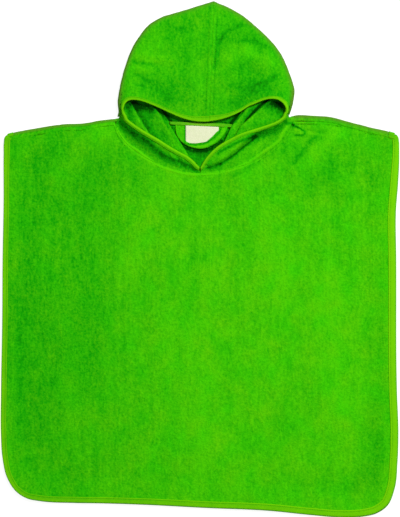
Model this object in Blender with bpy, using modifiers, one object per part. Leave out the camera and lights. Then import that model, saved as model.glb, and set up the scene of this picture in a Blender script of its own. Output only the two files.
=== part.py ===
"""Hooded bath poncho, laid flat with its front up.

The frame has its origin on the floor under the middle of the garment, +X to
the right of the front, +Y towards the tip of the hood and +Z up.  The tables
are in millimetres and every sheet is worked out as its middle surface, which
a Solidify modifier gives its thickness.
"""
from collections import namedtuple
from math import cos, pi, sin

import bmesh
import bpy
import numpy as np

MM = 0.001

# ---------------------------------------------------------------- sizes, mm
TERRY = 2.0                 # thickness of the terry cloth
FACING = 1.5                # thickness of the half-moon inside the neck
TAPE = 1.0                  # thickness of the tape over the neck seam
LABEL = 0.6                 # thickness of the woven label
GAP = 0.3                   # space between pieces that meet or lie on each other
WELD = 0.02                 # points closer than this are one

BIND_WALL = 0.7             # thickness of the smooth binding
BIND_WIDTH = 8.0            # how far a binding reaches over a body panel
HOOD_BIND_WIDTH = 7.0       # and over the edge of the hood
BIND_NOSE = 1.0             # how far a binding stands out past the cloth
LIP_GAP = 0.8               # space inside the hood's binding, which turns tight corners
NOSE_SHARE = 0.45           # half height of a binding's nose, as a share of half its thickness
INNER_NOSE_SHARE = 0.7      # the same on its inner side

BACK_Z = TERRY / 2                              # middle of the back panel
FRONT_Z = BACK_Z + TERRY + GAP                  # middle of the front panel
BACK_EDGE_Z = TERRY / 2 + GAP + BIND_WALL       # the same inside the bindings
FRONT_EDGE_Z = 3 * BACK_EDGE_Z + GAP
SHOULDER_Z = FRONT_Z + 0.6                      # front layer along a shoulder
SHOULDER_END_Z = FRONT_EDGE_Z + 0.7             # and in its bound end
SEAM_Z = 4.6                                    # front panel along the neck seam
FRONT_EASE = 36.0                               # run from a bound edge to flat cloth
BACK_EASE = 11.0                                # the same under the back panel

PLEAT_START_Z = 3.5         # height from which the hood's sections end in pleats
ROLL_STEPS = 4              # facets of a shoulder's roll
SEAM_FLAT = 4.0             # level strip of the hood beside the neck seam

# Top of the shoulders, from the bound end to the neck: x, y
LEFT_SHOULDER = ((-293.2, 186.2), (-280.5, 191.2), (-245.7, 197.8), (-206.5, 203.8),
                 (-172.0, 205.6), (-152.0, 209.4), (-128.5, 212.0))
RIGHT_SHOULDER = ((296.6, 187.6), (287.0, 191.6), (260.0, 198.3), (224.0, 207.5),
                  (197.0, 214.6), (170.0, 216.5), (142.0, 216.8))
LEFT_ROLL = 4.5             # width of the roll that shows from above
RIGHT_ROLL = 9.0

# Outer edge of the body, from the shoulder down to the middle of a corner: x, y
LEFT_SIDE = ((-293.2, 186.2), (-295.4, 165.0), (-295.5, 89.0), (-297.0, 0.0), (-297.6, -92.0),
             (-299.4, -200.0), (-299.6, -262.0), (-297.0, -300.0), (-290.5, -328.0),
             (-276.0, -350.0))
RIGHT_SIDE = ((296.6, 187.6), (299.9, 165.0), (297.5, 120.0), (294.0, 75.0), (294.4, 0.0),
              (295.5, -200.0), (297.6, -262.0), (296.2, -305.0), (291.8, -345.0),
              (281.2, -370.0))
HEM = ((-276.0, -350.0), (-261.0, -359.4), (-244.0, -362.8), (-190.0, -365.8),
       (-150.0, -366.4), (-88.0, -368.4), (10.0, -373.4), (105.0, -377.8), (168.0, -384.2),
       (212.0, -387.6), (245.0, -386.2), (264.0, -381.8), (281.2, -370.0))
BACK_SHIFT = (1.2, -0.9)    # the back panel lies this far aside under the front
SHIFT_RUN = 80.0            # and gets there this far below the shoulders
END_SHARE = 0.1             # share of a side where its edge comes down from the shoulder's end

# Shares of a side's length, and of the hem's, where the panels have rows and columns
SIDE_ROWS = (0.0, 0.03, 0.1, 0.18, 0.26, 0.34, 0.42, 0.5, 0.58, 0.66, 0.74, 0.82, 0.88, 0.92,
             0.96, 1.0)
SHOULDER_COLUMNS = (0.0, 0.024, 0.055, 0.09, 0.135, 0.185, 0.235, 0.286)
RIGHT_NECK_SHARE = 0.263    # share of the hem's length right of the right neck point
NECK_COLUMNS = 3            # columns of the back panel beside each end of the neck seam

# Soft ridges across the front panel
Ridge = namedtuple("Ridge", "start end rise half_width")
RIDGES = [Ridge(*row) for row in (
    ((205.0, 190.0), (150.0, 135.0), 2.6, 17.0),
    ((-150.0, 200.0), (-215.0, 120.0), 2.0, 22.0),
    ((-40.0, 118.0), (-130.0, 20.0), 1.8, 30.0),
    ((60.0, 120.0), (150.0, -10.0), 1.8, 32.0),
    ((-220.0, 30.0), (-190.0, -260.0), 1.6, 34.0),
    ((190.0, -40.0), (215.0, -300.0), 1.6, 32.0),
    ((-60.0, -130.0), (90.0, -260.0), 1.5, 36.0),
)]

# Sections of the hood, from the lip at the face over the top layer to the fold at
# its side, back along the lower layer to the neck, and on to the foot of a pleat
# in the mouth.  crown is how far the top layer swells, top and low are the heights
# of the two layers at the fold.
HoodSection = namedtuple("HoodSection", "lip crown side top low neck foot")
LEFT_HOOD = [HoodSection(*row) for row in (
    ((9.4, 208.0, 13.0), 3.5, (20.0, 388.4), 9.0, 1.0, (7.2, 205.5, 1.0), None),
    ((4.4, 208.0, 13.0), 3.5, (14.5, 388.1), 9.0, 1.0, (2.2, 205.5, 1.0), None),
    ((-8.7, 209.1, 13.2), 3.5, (-4.1, 381.5), 9.5, 1.0, (-9.0, 205.4, 1.0), None),
    ((-26.8, 212.6, 13.8), 3.5, (-29.8, 373.5), 10.0, 1.0, (-24.0, 205.0, 1.0), None),
    ((-44.8, 218.6, 14.8), 3.5, (-56.0, 365.8), 11.0, 1.0, (-37.0, 204.5, 1.0), None),
    ((-59.9, 224.6, 16.0), 3.2, (-76.6, 353.5), 11.5, 1.0, (-47.0, 204.0, 1.0), None),
    ((-72.7, 230.6, 17.2), 3.0, (-90.1, 337.5), 12.0, 1.4, (-51.5, 203.6, 3.5), (-17.0, 152.3, 3.5)),
    ((-82.5, 235.5, 18.2), 2.6, (-99.6, 322.5), 12.5, 2.0, (-56.0, 203.6, 11.5), (-22.2, 152.8, 5.4)),
    ((-92.3, 239.1, 19.2), 2.2, (-107.4, 304.5), 13.0, 3.0, (-66.0, 204.3, 8.6), (-33.5, 157.5, 5.2)),
    ((-101.4, 240.0, 20.0), 1.6, (-113.7, 286.0), 14.0, 3.5, (-76.5, 205.0, 6.8), (-45.6, 163.1, 5.0)),
    ((-108.2, 238.2, 20.5), 1.0, (-118.3, 268.0), 15.0, 3.7, (-83.8, 205.6, 5.6), (-55.4, 169.3, 4.8)),
    ((-112.7, 233.7, 20.8), 0.6, (-121.7, 251.5), 16.0, 3.9, (-89.0, 206.2, 12.0), (-62.2, 173.5, 9.0)),
    ((-115.7, 226.9, 20.6), 0.2, (-123.6, 237.0), 16.5, 4.0, (-102.1, 208.0, 9.5), (-81.0, 184.5, 8.4)),
    ((-114.6, 219.6, 19.8), 0.0, (-122.6, 224.0), 14.0, 4.2, (-113.0, 209.0, 8.4), (-99.6, 196.0, 8.0)),
    ((-112.0, 216.0, 19.2), 0.0, (-124.6, 215.0), 8.0, 4.4, (-116.0, 207.6, 7.6), (-104.5, 198.0, 7.4)),
)]
RIGHT_HOOD = [HoodSection(*row) for row in (
    ((9.4, 208.0, 13.0), 3.5, (20.0, 388.4), 9.0, 1.0, (7.2, 205.5, 1.0), None),
    ((14.4, 208.0, 13.0), 3.5, (26.5, 388.0), 9.0, 1.0, (12.2, 205.4, 1.0), None),
    ((27.5, 209.2, 13.2), 3.5, (44.1, 379.0), 9.5, 1.0, (21.0, 204.8, 1.0), None),
    ((45.6, 213.5, 13.8), 3.5, (65.2, 366.5), 10.0, 1.0, (35.0, 203.6, 1.0), None),
    ((60.7, 218.9, 15.0), 3.2, (83.3, 351.5), 11.0, 1.0, (48.0, 201.8, 1.0), None),
    ((72.7, 225.5, 16.2), 3.0, (99.6, 336.4), 12.0, 1.4, (52.5, 200.4, 3.5), (32.0, 166.5, 3.5)),
    ((81.8, 230.9, 17.4), 2.6, (113.2, 321.6), 12.5, 2.0, (57.5, 199.9, 11.5), (37.5, 165.5, 8.0)),
    ((90.8, 235.8, 18.6), 2.2, (123.3, 306.6), 13.0, 3.0, (62.0, 199.8, 6.0), (43.0, 168.8, 5.0)),
    ((99.9, 239.2, 19.8), 1.8, (130.9, 290.0), 13.5, 3.5, (67.0, 200.0, 13.0), (49.0, 170.4, 9.0)),
    ((108.9, 240.7, 20.6), 1.2, (137.2, 273.4), 14.5, 3.7, (79.0, 201.6, 11.0), (62.6, 174.9, 8.6)),
    ((118.0, 239.7, 21.0), 0.8, (141.9, 257.6), 15.5, 3.9, (93.1, 204.6, 10.0), (79.1, 181.7, 8.6)),
    ((125.5, 235.2, 21.0), 0.4, (141.4, 245.0), 16.0, 4.0, (107.4, 209.0, 9.6), (95.7, 188.4, 8.6)),
    ((129.6, 228.4, 20.8), 0.2, (140.0, 234.5), 15.5, 4.1, (119.5, 212.0, 9.0), (111.6, 199.0, 8.4)),
    ((129.8, 222.4, 20.2), 0.0, (138.6, 225.0), 13.0, 4.2, (126.0, 212.6, 8.2), (119.4, 204.5, 8.0)),
    ((127.8, 219.0, 19.6), 0.0, (138.8, 218.6), 8.0, 4.4, (129.0, 211.5, 7.6), (122.4, 206.5, 7.4)),
)]
FOLD_REACH = 1.1            # depth of the hood's side fold, as a share of half its height

# Sections of the hood's lower band, from the lip down to the neck seam.  roll is
# its swell below the lip, and crease the share of the way where a fold lies.
BandSection = namedtuple("BandSection", "lip seam roll crease")
LEFT_BAND = [BandSection(*row) for row in (
    ((-107.5, 211.5, 18.6), (-127.2, 203.5), 0.0, 0.0),
    ((-98.0, 203.2, 18.0), (-122.5, 190.5), 0.4, 0.0),
    ((-85.6, 195.5, 17.0), (-111.5, 175.6), 0.8, 0.0),
    ((-72.0, 188.1, 15.8), (-97.0, 162.8), 1.0, 0.0),
    ((-58.4, 180.3, 14.6), (-80.5, 152.6), 1.2, 0.0),
    ((-44.8, 171.9, 13.4), (-62.8, 144.0), 1.4, 0.0),
    ((-31.3, 164.0, 12.2), (-47.5, 138.2), 1.4, 0.0),
    ((-19.4, 156.8, 11.0), (-34.0, 134.4), 1.0, 0.0),
    ((-9.8, 149.2, 9.4), (-24.0, 132.2), 0.5, 0.0),
    ((-3.9, 141.2, 8.0), (-16.0, 131.0), 0.0, 0.0),
    ((-1.3, 131.6, 6.8), (-8.4, 130.2), 0.0, 0.0),
)]
RIGHT_BAND = [BandSection(*row) for row in (
    ((123.2, 215.3, 19.0), (138.8, 209.5), 0.0, 0.0),
    ((112.7, 209.1, 18.6), (135.5, 199.0), 0.4, 0.0),
    ((96.9, 200.9, 17.8), (127.2, 185.5), 0.8, 0.0),
    ((79.5, 194.2, 16.8), (113.2, 170.5), 1.0, 0.28),
    ((61.4, 188.0, 15.6), (95.8, 156.8), 1.6, 0.37),
    ((44.1, 180.6, 14.4), (76.0, 146.0), 2.0, 0.45),
    ((29.0, 171.7, 12.8), (56.0, 138.6), 2.0, 0.56),
    ((17.4, 162.8, 11.2), (38.0, 133.8), 1.4, 0.6),
    ((8.8, 153.0, 9.4), (24.0, 131.2), 0.6, 0.52),
    ((3.6, 142.6, 8.0), (14.5, 130.5), 0.0, 0.0),
    ((1.3, 131.6, 6.8), (8.4, 130.2), 0.0, 0.0),
)]
CREASE_FOOT = 2.2           # height of the band above its seam just past a crease
CREASE_LEAD = 0.15          # the fall into a crease starts this share of the way before it
CREASE_FALL = 0.2           # and takes this share of the way
SEAM_SHARE = 0.2            # most of a band's width that its level strip takes
LIP_STEPS = (3.5, HOOD_BIND_WIDTH)      # rows of the hood's binding, from the lip
LIP_SHARES = (0.25, 0.5)    # most of a band's width that these rows take
LEAST_TOP = 1.5             # least width of the hood's top layer past its binding
TOP_STEPS = 6               # rows of the hood's top layer past its binding
SIDE_STEPS = 4              # facets of the fold at the hood's side
UNDER_STEPS = 5             # rows of its lower layer
MOUTH_STEPS = 3             # rows of the pleats inside its mouth
SAMPLES = 40                # points worked out along a layer before its rows are placed
FOLD_SAMPLES = 24           # and round a fold

# Rows of the half-moon inside the back neck, of the tape on its top edge and of the label
NeckRow = namedtuple("NeckRow", "y left right")
FACING_ROWS = [NeckRow(*row) for row in (
    (203.2, -44.5, 45.5), (197.5, -41.5, 44.0), (187.0, -38.2, 36.5), (180.0, -34.0, 30.0),
    (174.8, -28.6, 21.5), (170.8, -20.0, 12.0), (168.6, -12.0, 4.0))]
TAPE_ROWS = [NeckRow(*row) for row in ((206.2, -45.5, 46.5), (200.6, -45.5, 46.5))]
LABEL_ROWS = [NeckRow(*row) for row in (
    (200.2, -21.6, 28.1), (187.4, -21.6, 28.1), (174.6, -21.4, 28.3))]
FACING_COLUMNS = 9          # points across the half-moon and the tape
LABEL_COLUMNS = 5

Finish = namedtuple("Finish", "colour roughness")
FINISHES = {
    "terry": Finish((0.045, 0.46, 0.003), 0.95),
    "facing": Finish((0.04, 0.42, 0.004), 0.95),
    "binding": Finish((0.13, 0.50, 0.006), 0.7),
    "tape": Finish((0.10, 0.48, 0.006), 0.8),
    "label": Finish((0.80, 0.82, 0.62), 0.7),
}


# ------------------------------------------------------------------ helpers
def smooth_line(points, shares):
    """Places on a smooth line through points, at shares of its length."""
    points = np.asarray(points, float)
    runs = np.linalg.norm(np.diff(points, axis=0), axis=1)
    along = np.r_[0.0, np.cumsum(runs)]
    slopes = np.gradient(points, along, axis=0)
    wanted = np.asarray(shares) * along[-1]
    piece = np.clip(np.searchsorted(along, wanted, side="right") - 1, 0, len(runs) - 1)
    run = runs[piece][:, None]
    t = (wanted - along[piece])[:, None] / run
    return ((2 * t**3 - 3 * t**2 + 1) * points[piece]
            + (t**3 - 2 * t**2 + t) * run * slopes[piece]
            + (3 * t**2 - 2 * t**3) * points[piece + 1]
            + (t**3 - t**2) * run * slopes[piece + 1])


def moved_in(line, distance):
    """A flat line moved sideways, to the left of the way that it runs."""
    way = np.gradient(line, axis=0)
    way /= np.linalg.norm(way, axis=1)[:, None]
    return line + distance * np.stack((-way[:, 1], way[:, 0]), axis=1)


def raised(line, heights):
    """A flat line with its heights added."""
    return np.column_stack((line, np.broadcast_to(heights, len(line))))


def eased(t):
    """0 to 1 with a soft start and end."""
    t = np.clip(t, 0.0, 1.0)
    return t * t * (3 - 2 * t)


def patch_between(top, left, hem, right, across):
    """Rows of points that fill the space between four boundary lines."""
    u = np.array(across)[None, :, None]
    v = np.array(SIDE_ROWS)[:, None, None]
    corners = ((1 - u) * (1 - v) * top[0] + u * (1 - v) * top[-1]
               + (1 - u) * v * hem[0] + u * v * hem[-1])
    return ((1 - v) * top[None] + v * hem[None]
            + (1 - u) * left[:, None] + u * right[:, None] - corners)


def add_patch(bm, points):
    """A grid of faces laid through rows of points."""
    rows, columns = points.shape[:2]
    made = bmesh.ops.create_grid(bm, x_segments=columns - 1, y_segments=rows - 1, size=1.0)
    for vert, point in zip(made["verts"], points.reshape(-1, 3)):
        vert.co = point * MM


def finish_mesh(bm, name):
    """A mesh from patches whose shared edges are joined."""
    bmesh.ops.remove_doubles(bm, verts=bm.verts, dist=WELD * MM)
    bmesh.ops.dissolve_degenerate(bm, edges=bm.edges, dist=WELD / 2 * MM)
    bmesh.ops.recalc_face_normals(bm, faces=bm.faces)
    mesh = bpy.data.meshes.new(name)
    bm.to_mesh(mesh)
    bm.free()
    return mesh


def add_object(name, mesh, finish):
    """An object of one piece, in the garment's collection and its own material."""
    colour = (*FINISHES[finish].colour, 1.0)
    material = bpy.data.materials.new(name)
    material.use_nodes = True
    shader = material.node_tree.nodes["Principled BSDF"]
    shader.inputs["Base Color"].default_value = colour
    shader.inputs["Roughness"].default_value = FINISHES[finish].roughness
    shader.inputs["Metallic"].default_value = 0.0
    material.diffuse_color = colour
    mesh.materials.append(material)
    mesh.shade_smooth()
    piece = bpy.data.objects.new(name, mesh)
    bpy.data.collections["hooded_bath_poncho"].objects.link(piece)
    return piece


def add_sheet(name, patches, thickness, finish):
    """A piece of cloth: its patches joined and given their thickness."""
    bm = bmesh.new()
    for patch in patches:
        add_patch(bm, patch)
    piece = add_object(name, finish_mesh(bm, name), finish)
    wall = piece.modifiers.new("wall", "SOLIDIFY")
    wall.thickness = thickness * MM
    wall.offset = 0.0
    return piece


def normals_of(piece, points):
    """The cloth's own normals at points of its middle surface."""
    places = np.array([vert.co for vert in piece.data.vertices]) / MM
    normals = np.array([vert.normal for vert in piece.data.vertices])
    flat = points.reshape(-1, 3)
    nearest = [np.argmin(np.sum((places - point) ** 2, axis=1)) for point in flat]
    return normals[nearest].reshape(points.shape)


def add_binding(name, points, normals, gap=GAP):
    """A strip folded over a cloth's edge.

    points has a row for each station along the edge: the edge itself, then
    places further in.  The strip is these points, moved out on both sides.
    """
    inner = TERRY / 2 + gap
    outer = inner + BIND_WALL
    edge = points[:, 0]
    ahead = edge - points[:, 1]
    normal = normals[:, 0]
    ahead -= np.sum(ahead * normal, axis=1)[:, None] * normal
    ahead /= np.linalg.norm(ahead, axis=1)[:, None]
    inwards = range(points.shape[1])
    outwards = range(points.shape[1] - 1, -1, -1)
    section = [points[:, k] + outer * normals[:, k] for k in outwards]
    section.append(edge + BIND_NOSE * ahead + NOSE_SHARE * outer * normal)
    section.append(edge + BIND_NOSE * ahead - NOSE_SHARE * outer * normal)
    section += [points[:, k] - outer * normals[:, k] for k in inwards]
    section += [points[:, k] - inner * normals[:, k] for k in outwards]
    section.append(edge + GAP * ahead - INNER_NOSE_SHARE * inner * normal)
    section.append(edge + GAP * ahead + INNER_NOSE_SHARE * inner * normal)
    section += [points[:, k] + inner * normals[:, k] for k in inwards]
    section.append(section[0])
    bm = bmesh.new()
    add_patch(bm, np.stack(section, axis=1))
    bmesh.ops.remove_doubles(bm, verts=bm.verts, dist=WELD * MM)
    ends = [line for line in bm.edges if line.is_boundary]
    bmesh.ops.holes_fill(bm, edges=ends, sides=0)
    return add_object(name, finish_mesh(bm, name), "binding")


# ----------------------------------------------------------- the body panels
def shoulder_line(points):
    """The top of a shoulder, from its bound end, and its distances from that end."""
    length = np.linalg.norm(np.subtract(points[-1], points[0]))
    start = (BIND_NOSE + BIND_WIDTH) / length
    columns = np.array(SHOULDER_COLUMNS) / SHOULDER_COLUMNS[-1]
    shares = np.r_[BIND_NOSE / length, start + (1 - start) * columns]
    return smooth_line(points, shares), shares * length


def beyond_edge(distance, ease):
    """0 inside a binding, then softly up to 1 over the next ease millimetres."""
    return eased((distance - BIND_NOSE - BIND_WIDTH) / ease)


def shoulder_roll(points, width):
    """Rows of a shoulder's roll, from the back panel over to the front, and the front's edge."""
    line, reach = shoulder_line(points)
    low = BACK_EDGE_Z + (BACK_Z - BACK_EDGE_Z) * beyond_edge(reach, BACK_EASE)
    high = SHOULDER_END_Z + (SHOULDER_Z - SHOULDER_END_Z) * beyond_edge(reach, FRONT_EASE)
    radius = (high - low) / 2
    rows = []
    for step in range(ROLL_STEPS + 1):
        angle = pi * step / ROLL_STEPS
        ahead = radius * sin(angle) - radius - TERRY / 2
        rows.append(np.column_stack((line[:, 0], line[:, 1] + ahead,
                                     low + radius * (1 - cos(angle)))))
    rows.append(np.column_stack((line[:, 0], line[:, 1] - width, high)))
    return np.array(rows), rows[-1] - (0.0, GAP, 0.0)


def column_shares(neck):
    """Shares of the hem's length for the columns that end along a neck line."""
    left, right = SHOULDER_COLUMNS[-1], 1 - RIGHT_NECK_SHARE
    across = (neck[:, 0] - neck[0, 0]) / (neck[-1, 0] - neck[0, 0])
    rest = np.array(SHOULDER_COLUMNS) * RIGHT_NECK_SHARE / left
    return np.r_[SHOULDER_COLUMNS, left + (right - left) * across[1:-1], 1 - rest[::-1]]


def body_lines(shares, shift):
    """Left side, hem and right side: the cloth's edge, and the binding's inner line."""
    rows = len(SIDE_ROWS)
    lines = []
    for points, stations in ((LEFT_SIDE, SIDE_ROWS), (HEM, shares), (RIGHT_SIDE, SIDE_ROWS)):
        line = smooth_line(points, stations)
        lowered = eased((LEFT_SIDE[0][1] - line[:, 1]) / SHIFT_RUN)
        lines.append(line + lowered[:, None] * shift)
    ring = np.concatenate((lines[0], lines[1][1:-1], lines[2][::-1]))
    found = []
    for distance in (BIND_NOSE, BIND_NOSE + BIND_WIDTH):
        moved = moved_in(ring, distance)
        found.append((moved[:rows], moved[rows - 1:len(moved) - rows + 1],
                      moved[:-rows - 1:-1]))
    return found


def body_panel(left_top, neck, right_top, edge_z, flat_z, shift):
    """A body panel's patches, and the stations of its bound edge.

    left_top and right_top run from the bound ends to the neck, and start with the
    cloth's edge and the binding's inner line.
    """
    top = np.concatenate((left_top[1:], neck[1:-1], right_top[:0:-1]))
    edge, inset = body_lines(column_shares(neck), shift)
    heights = [edge_z + (end[1, 2] - edge_z) * (1 - eased(np.array(SIDE_ROWS) / END_SHARE))
               for end in (left_top, right_top)]
    sides = []
    for line, ends in ((edge, (left_top[0], right_top[0])), (inset, (left_top[1], right_top[1]))):
        left, hem, right = (raised(line[0], heights[0]), raised(line[1], edge_z),
                            raised(line[2], heights[1]))
        left[0], right[0] = ends
        sides.append((left, hem, right))
    outer, inner = sides
    middle = patch_between(top, inner[0], inner[1], inner[2], column_shares(neck))
    middle[1:-1, 1:-1, 2] = flat_z(middle[1:-1, 1:-1], outer)
    ring = [np.concatenate((line[0], line[1][1:-1], line[2][::-1])) for line in (outer, inner)]
    return middle, np.stack(ring, axis=1)


def distance_from(line, points):
    """Distances in plan from points to a line."""
    start, way = line[:-1, :2], np.diff(line[:, :2], axis=0)
    apart = points[..., None, :2] - start
    along = np.clip(np.sum(apart * way, axis=-1) / np.sum(way * way, axis=-1), 0, 1)
    return np.linalg.norm(apart - along[..., None] * way, axis=-1).min(axis=-1)


def edge_distance(points, outer):
    """Distances from points to the bound edge of a panel."""
    ring = np.concatenate((outer[0], outer[1][1:-1], outer[2][::-1]))
    return distance_from(ring, points) + BIND_NOSE


def back_height(points, outer):
    """Heights of the back panel's middle surface inside its bound edge."""
    share = beyond_edge(edge_distance(points, outer), BACK_EASE)
    return BACK_EDGE_Z + (BACK_Z - BACK_EDGE_Z) * share


def front_height(points, outer):
    """Heights of the front panel's middle surface, with its soft ridges."""
    share = beyond_edge(edge_distance(points, outer), FRONT_EASE)
    height = FRONT_EDGE_Z + (FRONT_Z - FRONT_EDGE_Z) * share
    for ridge in RIDGES:
        away = distance_from(np.array((ridge.start, ridge.end)), points)
        height += share * ridge.rise * np.exp(-(away / ridge.half_width) ** 2)
    return height


def neck_of_back():
    """The back panel's neck edge, 0.3 mm below the hood's lower layer."""
    roll = (SHOULDER_Z - BACK_Z) / 2 + TERRY / 2
    left_end = np.array(LEFT_SHOULDER[-1]) - (0.0, roll)
    right_end = np.array(RIGHT_SHOULDER[-1]) - (0.0, roll)
    left = [section.neck[:2] for section in LEFT_HOOD if section.neck[2] <= PLEAT_START_Z]
    right = [section.neck[:2] for section in RIGHT_HOOD[1:] if section.neck[2] <= PLEAT_START_Z]
    seam = np.array(left[::-1] + right) - (0.0, GAP)
    lead = [left_end + (seam[0] - left_end) * k / NECK_COLUMNS for k in range(NECK_COLUMNS)]
    tail = [right_end + (seam[-1] - right_end) * k / NECK_COLUMNS for k in range(NECK_COLUMNS)]
    return raised(np.vstack((lead, seam, tail[::-1])), BACK_Z)


def make_back_panel():
    """The back, whose shoulders roll over to the front, and its binding."""
    left_roll, _ = shoulder_roll(LEFT_SHOULDER, LEFT_ROLL)
    right_roll, _ = shoulder_roll(RIGHT_SHOULDER, RIGHT_ROLL)
    middle, ring = body_panel(left_roll[0], neck_of_back(), right_roll[0], BACK_EDGE_Z,
                              back_height, BACK_SHIFT)
    panel = add_sheet("back_panel", (middle, ring, left_roll, right_roll), TERRY, "terry")
    edge = np.concatenate((left_roll[:0:-1, :2], ring, right_roll[1:, :2]))
    add_binding("back_binding", edge, normals_of(panel, edge))


def make_front_panel():
    """The front with its scooped neck, and its binding."""
    _, left_top = shoulder_roll(LEFT_SHOULDER, LEFT_ROLL)
    _, right_top = shoulder_roll(RIGHT_SHOULDER, RIGHT_ROLL)
    seam = [section.seam for section in LEFT_BAND + RIGHT_BAND[::-1]]
    neck = np.vstack((left_top[-1], raised(np.array(seam), SEAM_Z), right_top[-1]))
    middle, ring = body_panel(left_top, neck, right_top, FRONT_EDGE_Z, front_height, (0.0, 0.0))
    panel = add_sheet("front_panel", (middle, ring), TERRY, "terry")
    add_binding("front_binding", ring, normals_of(panel, ring))


# ------------------------------------------------------------------ the hood
def at_lengths(path, lengths):
    """Places along a path at given lengths from its start."""
    runs = np.linalg.norm(np.diff(path, axis=0), axis=1)
    along = np.r_[0.0, np.cumsum(runs)]
    return np.column_stack([np.interp(lengths, along, path[:, axis]) for axis in range(3)])


def spread(start, end, steps):
    """Even places after start up to end."""
    return np.linspace(start, end, steps + 1)[1:]


def hood_section(section):
    """Rows of a section of the hood, from the lip over and under to the neck."""
    lip, side, neck = (np.array(place) for place in (section.lip, section.side, section.neck))
    half_height = (section.top - section.low) / 2
    out = side - lip[:2]
    length = np.linalg.norm(out)
    out /= length
    reach = min(FOLD_REACH * half_height, length / 2)
    turn = side - (reach + TERRY / 2) * out
    t = np.linspace(0, 1, SAMPLES)[:, None]
    swell = section.crown * 4 * t * (1 - t)
    over = np.hstack((lip[:2] + t * (turn - lip[:2]),
                      lip[2] + (section.top - lip[2]) * eased(t) + swell))
    angle = np.linspace(0, pi, FOLD_SAMPLES)[1:, None]
    fold = np.hstack((turn + reach * np.sin(angle) * out,
                      section.low + half_height * (1 + np.cos(angle))))
    t = t[1:]
    under = np.hstack((turn + t * (neck[:2] - turn),
                       section.low + (neck[2] - section.low) * t * t))
    path = np.vstack((over, fold, under))
    runs = np.linalg.norm(np.diff(path, axis=0), axis=1)
    fold_start = max(np.sum(runs[:SAMPLES - 1]), LIP_STEPS[-1] + LEAST_TOP)
    fold_end = np.sum(runs[:SAMPLES + FOLD_SAMPLES - 2])
    end = np.sum(runs)
    lengths = np.r_[0.0, LIP_STEPS, spread(LIP_STEPS[-1], fold_start, TOP_STEPS),
                    spread(fold_start, fold_end, SIDE_STEPS), spread(fold_end, end, UNDER_STEPS)]
    return at_lengths(path, lengths)


def band_section(section):
    """Rows of a section of the hood's lower band, from the lip down to the neck seam."""
    lip, seam, crease = np.array(section.lip), np.array(section.seam), section.crease
    way = seam - lip[:2]
    length = np.linalg.norm(way)
    seam = seam - GAP * way / length
    t = np.linspace(0, 1, 2 * SAMPLES)[:, None]
    if crease:
        foot = SEAM_Z + CREASE_FOOT * (1 - eased((t - crease) / (1 - crease)))
        fall = eased((t - crease + CREASE_LEAD) / CREASE_FALL)
        swell = np.sin(pi * np.clip(t / crease, 0, 1))
    else:
        foot = SEAM_Z
        fall = eased(t * length / (length - min(SEAM_FLAT, SEAM_SHARE * length)))
        swell = np.sin(pi * t) * (1 - t)
    height = lip[2] + (foot - lip[2]) * fall + section.roll * swell
    path = np.hstack((lip[:2] + t * (seam - lip[:2]), height))
    whole = np.sum(np.linalg.norm(np.diff(path, axis=0), axis=1))
    level = min(SEAM_FLAT, SEAM_SHARE * whole)
    first, second = (min(step, share * whole) for step, share in zip(LIP_STEPS, LIP_SHARES))
    lengths = np.r_[0.0, first, second, spread(second, whole - level, TOP_STEPS - 1), whole]
    return at_lengths(path, lengths)


def make_hood_half(name, hood, band, middle_shift):
    """One half of the hood: its layers, the pleats in its mouth and its lower band.

    Gives back the rows under its binding, with the cloth's normals there.
    """
    layers = np.array([hood_section(section) for section in hood])
    layers[0, :, 0] += middle_shift
    mouth = np.array([np.linspace(rows[-1], section.foot, MOUTH_STEPS + 1)
                      for rows, section in zip(layers, hood) if section.foot])
    top_rows = len(LIP_STEPS) + TOP_STEPS + 1
    lower = np.array([layers[-1, :top_rows]] + [band_section(section) for section in band])
    piece = add_sheet(name, (layers, mouth, lower), TERRY, "terry")
    lip_rows = len(LIP_STEPS) + 1
    lip = np.concatenate((layers[:, :lip_rows], lower[1:, :lip_rows]))
    return lip, normals_of(piece, lip)


def make_hood():
    """Both halves of the hood and the binding round the face opening."""
    left, left_normals = make_hood_half("hood_left", LEFT_HOOD, LEFT_BAND, -GAP / 2)
    right, right_normals = make_hood_half("hood_right", RIGHT_HOOD, RIGHT_BAND, GAP / 2)
    side = np.sign(left_normals[0, 0] @ right_normals[0, 0])
    add_binding("hood_binding", np.concatenate((left[::-1], right[1:])),
                np.concatenate((left_normals[::-1], side * right_normals[1:])), LIP_GAP)


# ------------------------------------------------------------ inside the neck
def level_patch(rows, columns, height):
    """A level patch through the rows of a piece inside the neck."""
    return np.array([[(x, row.y, height) for x in np.linspace(row.left, row.right, columns)]
                     for row in rows])


def make_neck_pieces():
    """The half-moon, the tape over the neck seam and the blank label, on the back panel."""
    facing_z = TERRY + GAP + FACING / 2
    on_facing = TERRY + GAP + FACING + GAP
    facing = level_patch(FACING_ROWS, FACING_COLUMNS, facing_z)
    tape = level_patch(TAPE_ROWS, FACING_COLUMNS, on_facing + TAPE / 2)
    label = level_patch(LABEL_ROWS, LABEL_COLUMNS, on_facing + LABEL / 2)
    add_sheet("neck_facing", [facing], FACING, "facing")
    add_sheet("neck_tape", [tape], TAPE, "tape")
    add_sheet("label", [label], LABEL, "label")


def main():
    for old in list(bpy.data.objects):
        bpy.data.objects.remove(old, do_unlink=True)
    garment = bpy.data.collections.new("hooded_bath_poncho")
    bpy.context.scene.collection.children.link(garment)
    make_back_panel()
    make_front_panel()
    make_hood()
    make_neck_pieces()


if __name__ == "__main__":
    main()
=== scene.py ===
"""Looks of a hooded bath poncho that lies flat with its front up.

Every length in the tables is in millimetres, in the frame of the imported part: the
origin is on the floor under the middle of the garment, +X to the right of the front,
+Y towards the tip of the hood and +Z up.
"""
from collections import namedtuple
from math import cos, pi, sin

import bmesh
import bpy
import numpy as np
from bpy.props import FloatProperty, FloatVectorProperty, PointerProperty
from mathutils import Matrix, Vector


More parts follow.
